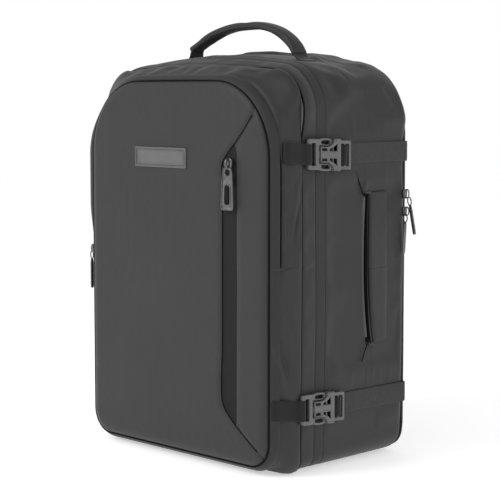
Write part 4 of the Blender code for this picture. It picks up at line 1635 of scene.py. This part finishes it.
def build_shoulder_straps():
    """Straight padded straps sewn under a yoke, with bound edges and webbing tails; the ladder buckles stay as the
    CAD adjusters.
    """
    yoke_path = [Vector((x, DOOR_FACE + 0.0030, 0.4590)) for x in spread(-0.092, 0.0921, 46)]
    yoke = pillow("strap_yoke", yoke_path, lambda t: 0.0130, lambda t: 0.0060, (0, 1, 0), COATED, 0.006, 16)
    subdivide(yoke)
    finish_piece(yoke, "back_door")
    for hand, side in SIDES.items():
        strap_low, strap_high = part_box("shoulder_strap_" + hand)
        mid_y = (strap_low.y + strap_high.y) / 2
        ends = (
            Vector((side * 0.050, mid_y, strap_high.z - 0.002)),
            Vector((side * 0.107, mid_y, strap_low.z + 0.002))
        )
        path = [ends[0].lerp(ends[1], k / 46) for k in range(47)]
        strap = pillow(
            "shoulder_pad_" + hand, path, lambda t: mix(
                0.0295, 0.0175, smooth(t)
            ), lambda t: 0.0086, (0, 1, 0), COATED, 0.010
        )
        strap.data.materials.append(MESH_CLOTH)
        for face in strap.data.polygons:
            if face.normal.y > 0.75:
                face.material_index = 1
        puff_up(strap, 2, 26, 0.9, 0.0009)
        finish_piece(strap, "shoulder_" + hand, "shoulder_strap_" + hand)
        for edge in (1, -1):
            points = []
            for k, p in enumerate(path[1:-1]):
                reach = mix(0.0295, 0.0175, smooth((k + 1) / 46)) - 0.0004
                points.append(p + Vector((edge * reach * 0.98, 0, edge * side * reach * 0.20)))
            name = "strap_binding_" + hand + ("_outer" if edge == side else "_inner")
            finish_piece(tube(name, points, 0.0021, (0, 1, 0), WEBBING), "shoulder_" + hand)
        x = side * 0.107
        tail = [
            (x, 0.1236, 0.045), (x, 0.1236, 0.10), (x, 0.1238, 0.140), (x, 0.1256, 0.1520),
            (x, 0.1300, 0.1570)
        ]
        tail += [(x, 0.1312, 0.1625), (x, 0.1300, 0.1680), (x, 0.1262, 0.1730)]
        webbing_piece = webbing("strap_tail_" + hand, tail, 0.0245, 0.0012, (0, 1, 0), WEBBING)
        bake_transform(webbing_piece)
        finish_piece(webbing_piece, None, "lower_webbing_" + hand)


def build_inside():
    """The padded laptop sleeve on the front wall."""
    low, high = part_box("laptop_sleeve")
    y = (low.y + high.y) / 2
    path = [Vector((0, y, z)) for z in spread(low.z, high.z, 40)] + [Vector((0, y, high.z))]
    sleeve = pillow(
        "sleeve_padding", path, lambda t: high.x - 0.001, lambda t: 0.0052, (0, 1, 0), LINING, 0.012
    )
    puff_up(sleeve, 2, 26, 0.6, 0.0006)
    finish_piece(sleeve, "root", "laptop_sleeve")


def dress_kept_nodes():
    """Procedural materials on the CAD nodes that stay as they are."""
    kept = {"base_panel": BOARD, "frame_sheet": BOARD}
    for hand in SIDES:
        kept["skid_strip_" + hand] = BOARD
        kept["strap_adjuster_" + hand] = PLASTIC
    for name, material in kept.items():
        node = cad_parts[name]
        for slot in node.material_slots:
            slot.material = material


# ---------------------------------------------------------------- stage


SKY_SIDE, SKY_TOP = 0.80, 0.40  # how strongly the studio lights from the horizon and from overhead


def build_sky():
    """A studio that is white to the camera, and lights the pack more from the sides than from above."""
    world = bpy.data.worlds.new("studio")
    world.use_nodes = True
    bpy.context.scene.world = world
    tree = world.node_tree
    seen = tree.nodes["Background"]
    seen.inputs["Color"].default_value = (1.0, 1.0, 1.0, 1.0)
    seen.inputs["Strength"].default_value = 1.0
    lights = tree.nodes.new("ShaderNodeBackground")
    lights.inputs["Color"].default_value = (1.0, 1.0, 1.0, 1.0)
    split = tree.nodes.new("ShaderNodeSeparateXYZ")
    tree.links.new(tree.nodes.new("ShaderNodeTexCoord").outputs["Generated"], split.inputs["Vector"])
    fade = tree.nodes.new("ShaderNodeMapRange")
    tree.links.new(split.outputs["Z"], fade.inputs["Value"])
    for socket, value in (("From Min", 0.1), ("From Max", 0.9), ("To Min", SKY_SIDE), ("To Max", SKY_TOP)):
        fade.inputs[socket].default_value = value
    tree.links.new(fade.outputs["Result"], lights.inputs["Strength"])
    choose = tree.nodes.new("ShaderNodeMixShader")
    tree.links.new(tree.nodes.new("ShaderNodeLightPath").outputs["Is Camera Ray"], choose.inputs["Fac"])
    tree.links.new(lights.outputs["Background"], choose.inputs[1])
    tree.links.new(seen.outputs["Background"], choose.inputs[2])
    tree.links.new(choose.outputs["Shader"], tree.nodes["World Output"].inputs["Surface"])


def build_stage():
    """A pale flat floor, the studio sky, soft lights, and the camera."""
    floor_cloth = Nodes("studio_floor", (0.92, 0.92, 0.92), 0.8)
    floor_cloth.mottle(floor_cloth.noise(1.5), (0.92, 0.92, 0.92), 0.004)
    floor_cloth.set("Emission Color", (1.0, 1.0, 1.0, 1.0))
    floor_cloth.set("Emission Strength", 0.50)
    reach = 6.0
    points = [(x * reach, y * reach, -0.0015) for x, y in ((-1, -1), (1, -1), (1, 1), (-1, 1))]
    floor = add_mesh("studio_floor", points, [(0, 1, 2, 3)], floor_cloth.material)

    build_sky()
    bpy.context.scene.view_settings.view_transform = "Standard"

    def area(name, place, target, size, energy):
        light = bpy.data.lights.new(name, "AREA")
        light.size, light.energy = size, energy
        lamp = bpy.data.objects.new(name, light)
        lamp.location = place
        lamp.rotation_euler = (Vector(target) - Vector(place)).to_track_quat("-Z", "Y").to_euler()
        bpy.context.scene.collection.objects.link(lamp)

    area("key", (-0.6, -2.2, 1.6), (0, 0, 0.25), 1.2, 30.0)
    area("fill", (2.4, 0.2, 1.2), (0, 0, 0.25), 1.5, 10.0)

    lens = bpy.data.cameras.new("camera")
    lens.lens, lens.sensor_width = 116.17, 36.0
    lens.clip_start, lens.clip_end = 0.05, 50.0
    camera = bpy.data.objects.new("camera", lens)
    camera.location = (1.5119, -1.4283, 0.4588)
    camera.rotation_euler = (math.radians(90 - 5.634), 0.0, math.radians(46.458))
    bpy.context.scene.collection.objects.link(camera)
    bpy.context.scene.camera = camera


build_stage()
build_shell()
build_gusset()
build_front_panel()
build_panel_band()
build_straps()
build_seams()
build_darts()
build_patch()
build_quick_zip()
build_small_zips()
build_top_handle()
build_side_handle()
build_back_panel()
build_shoulder_straps()
build_inside()
dress_kept_nodes()
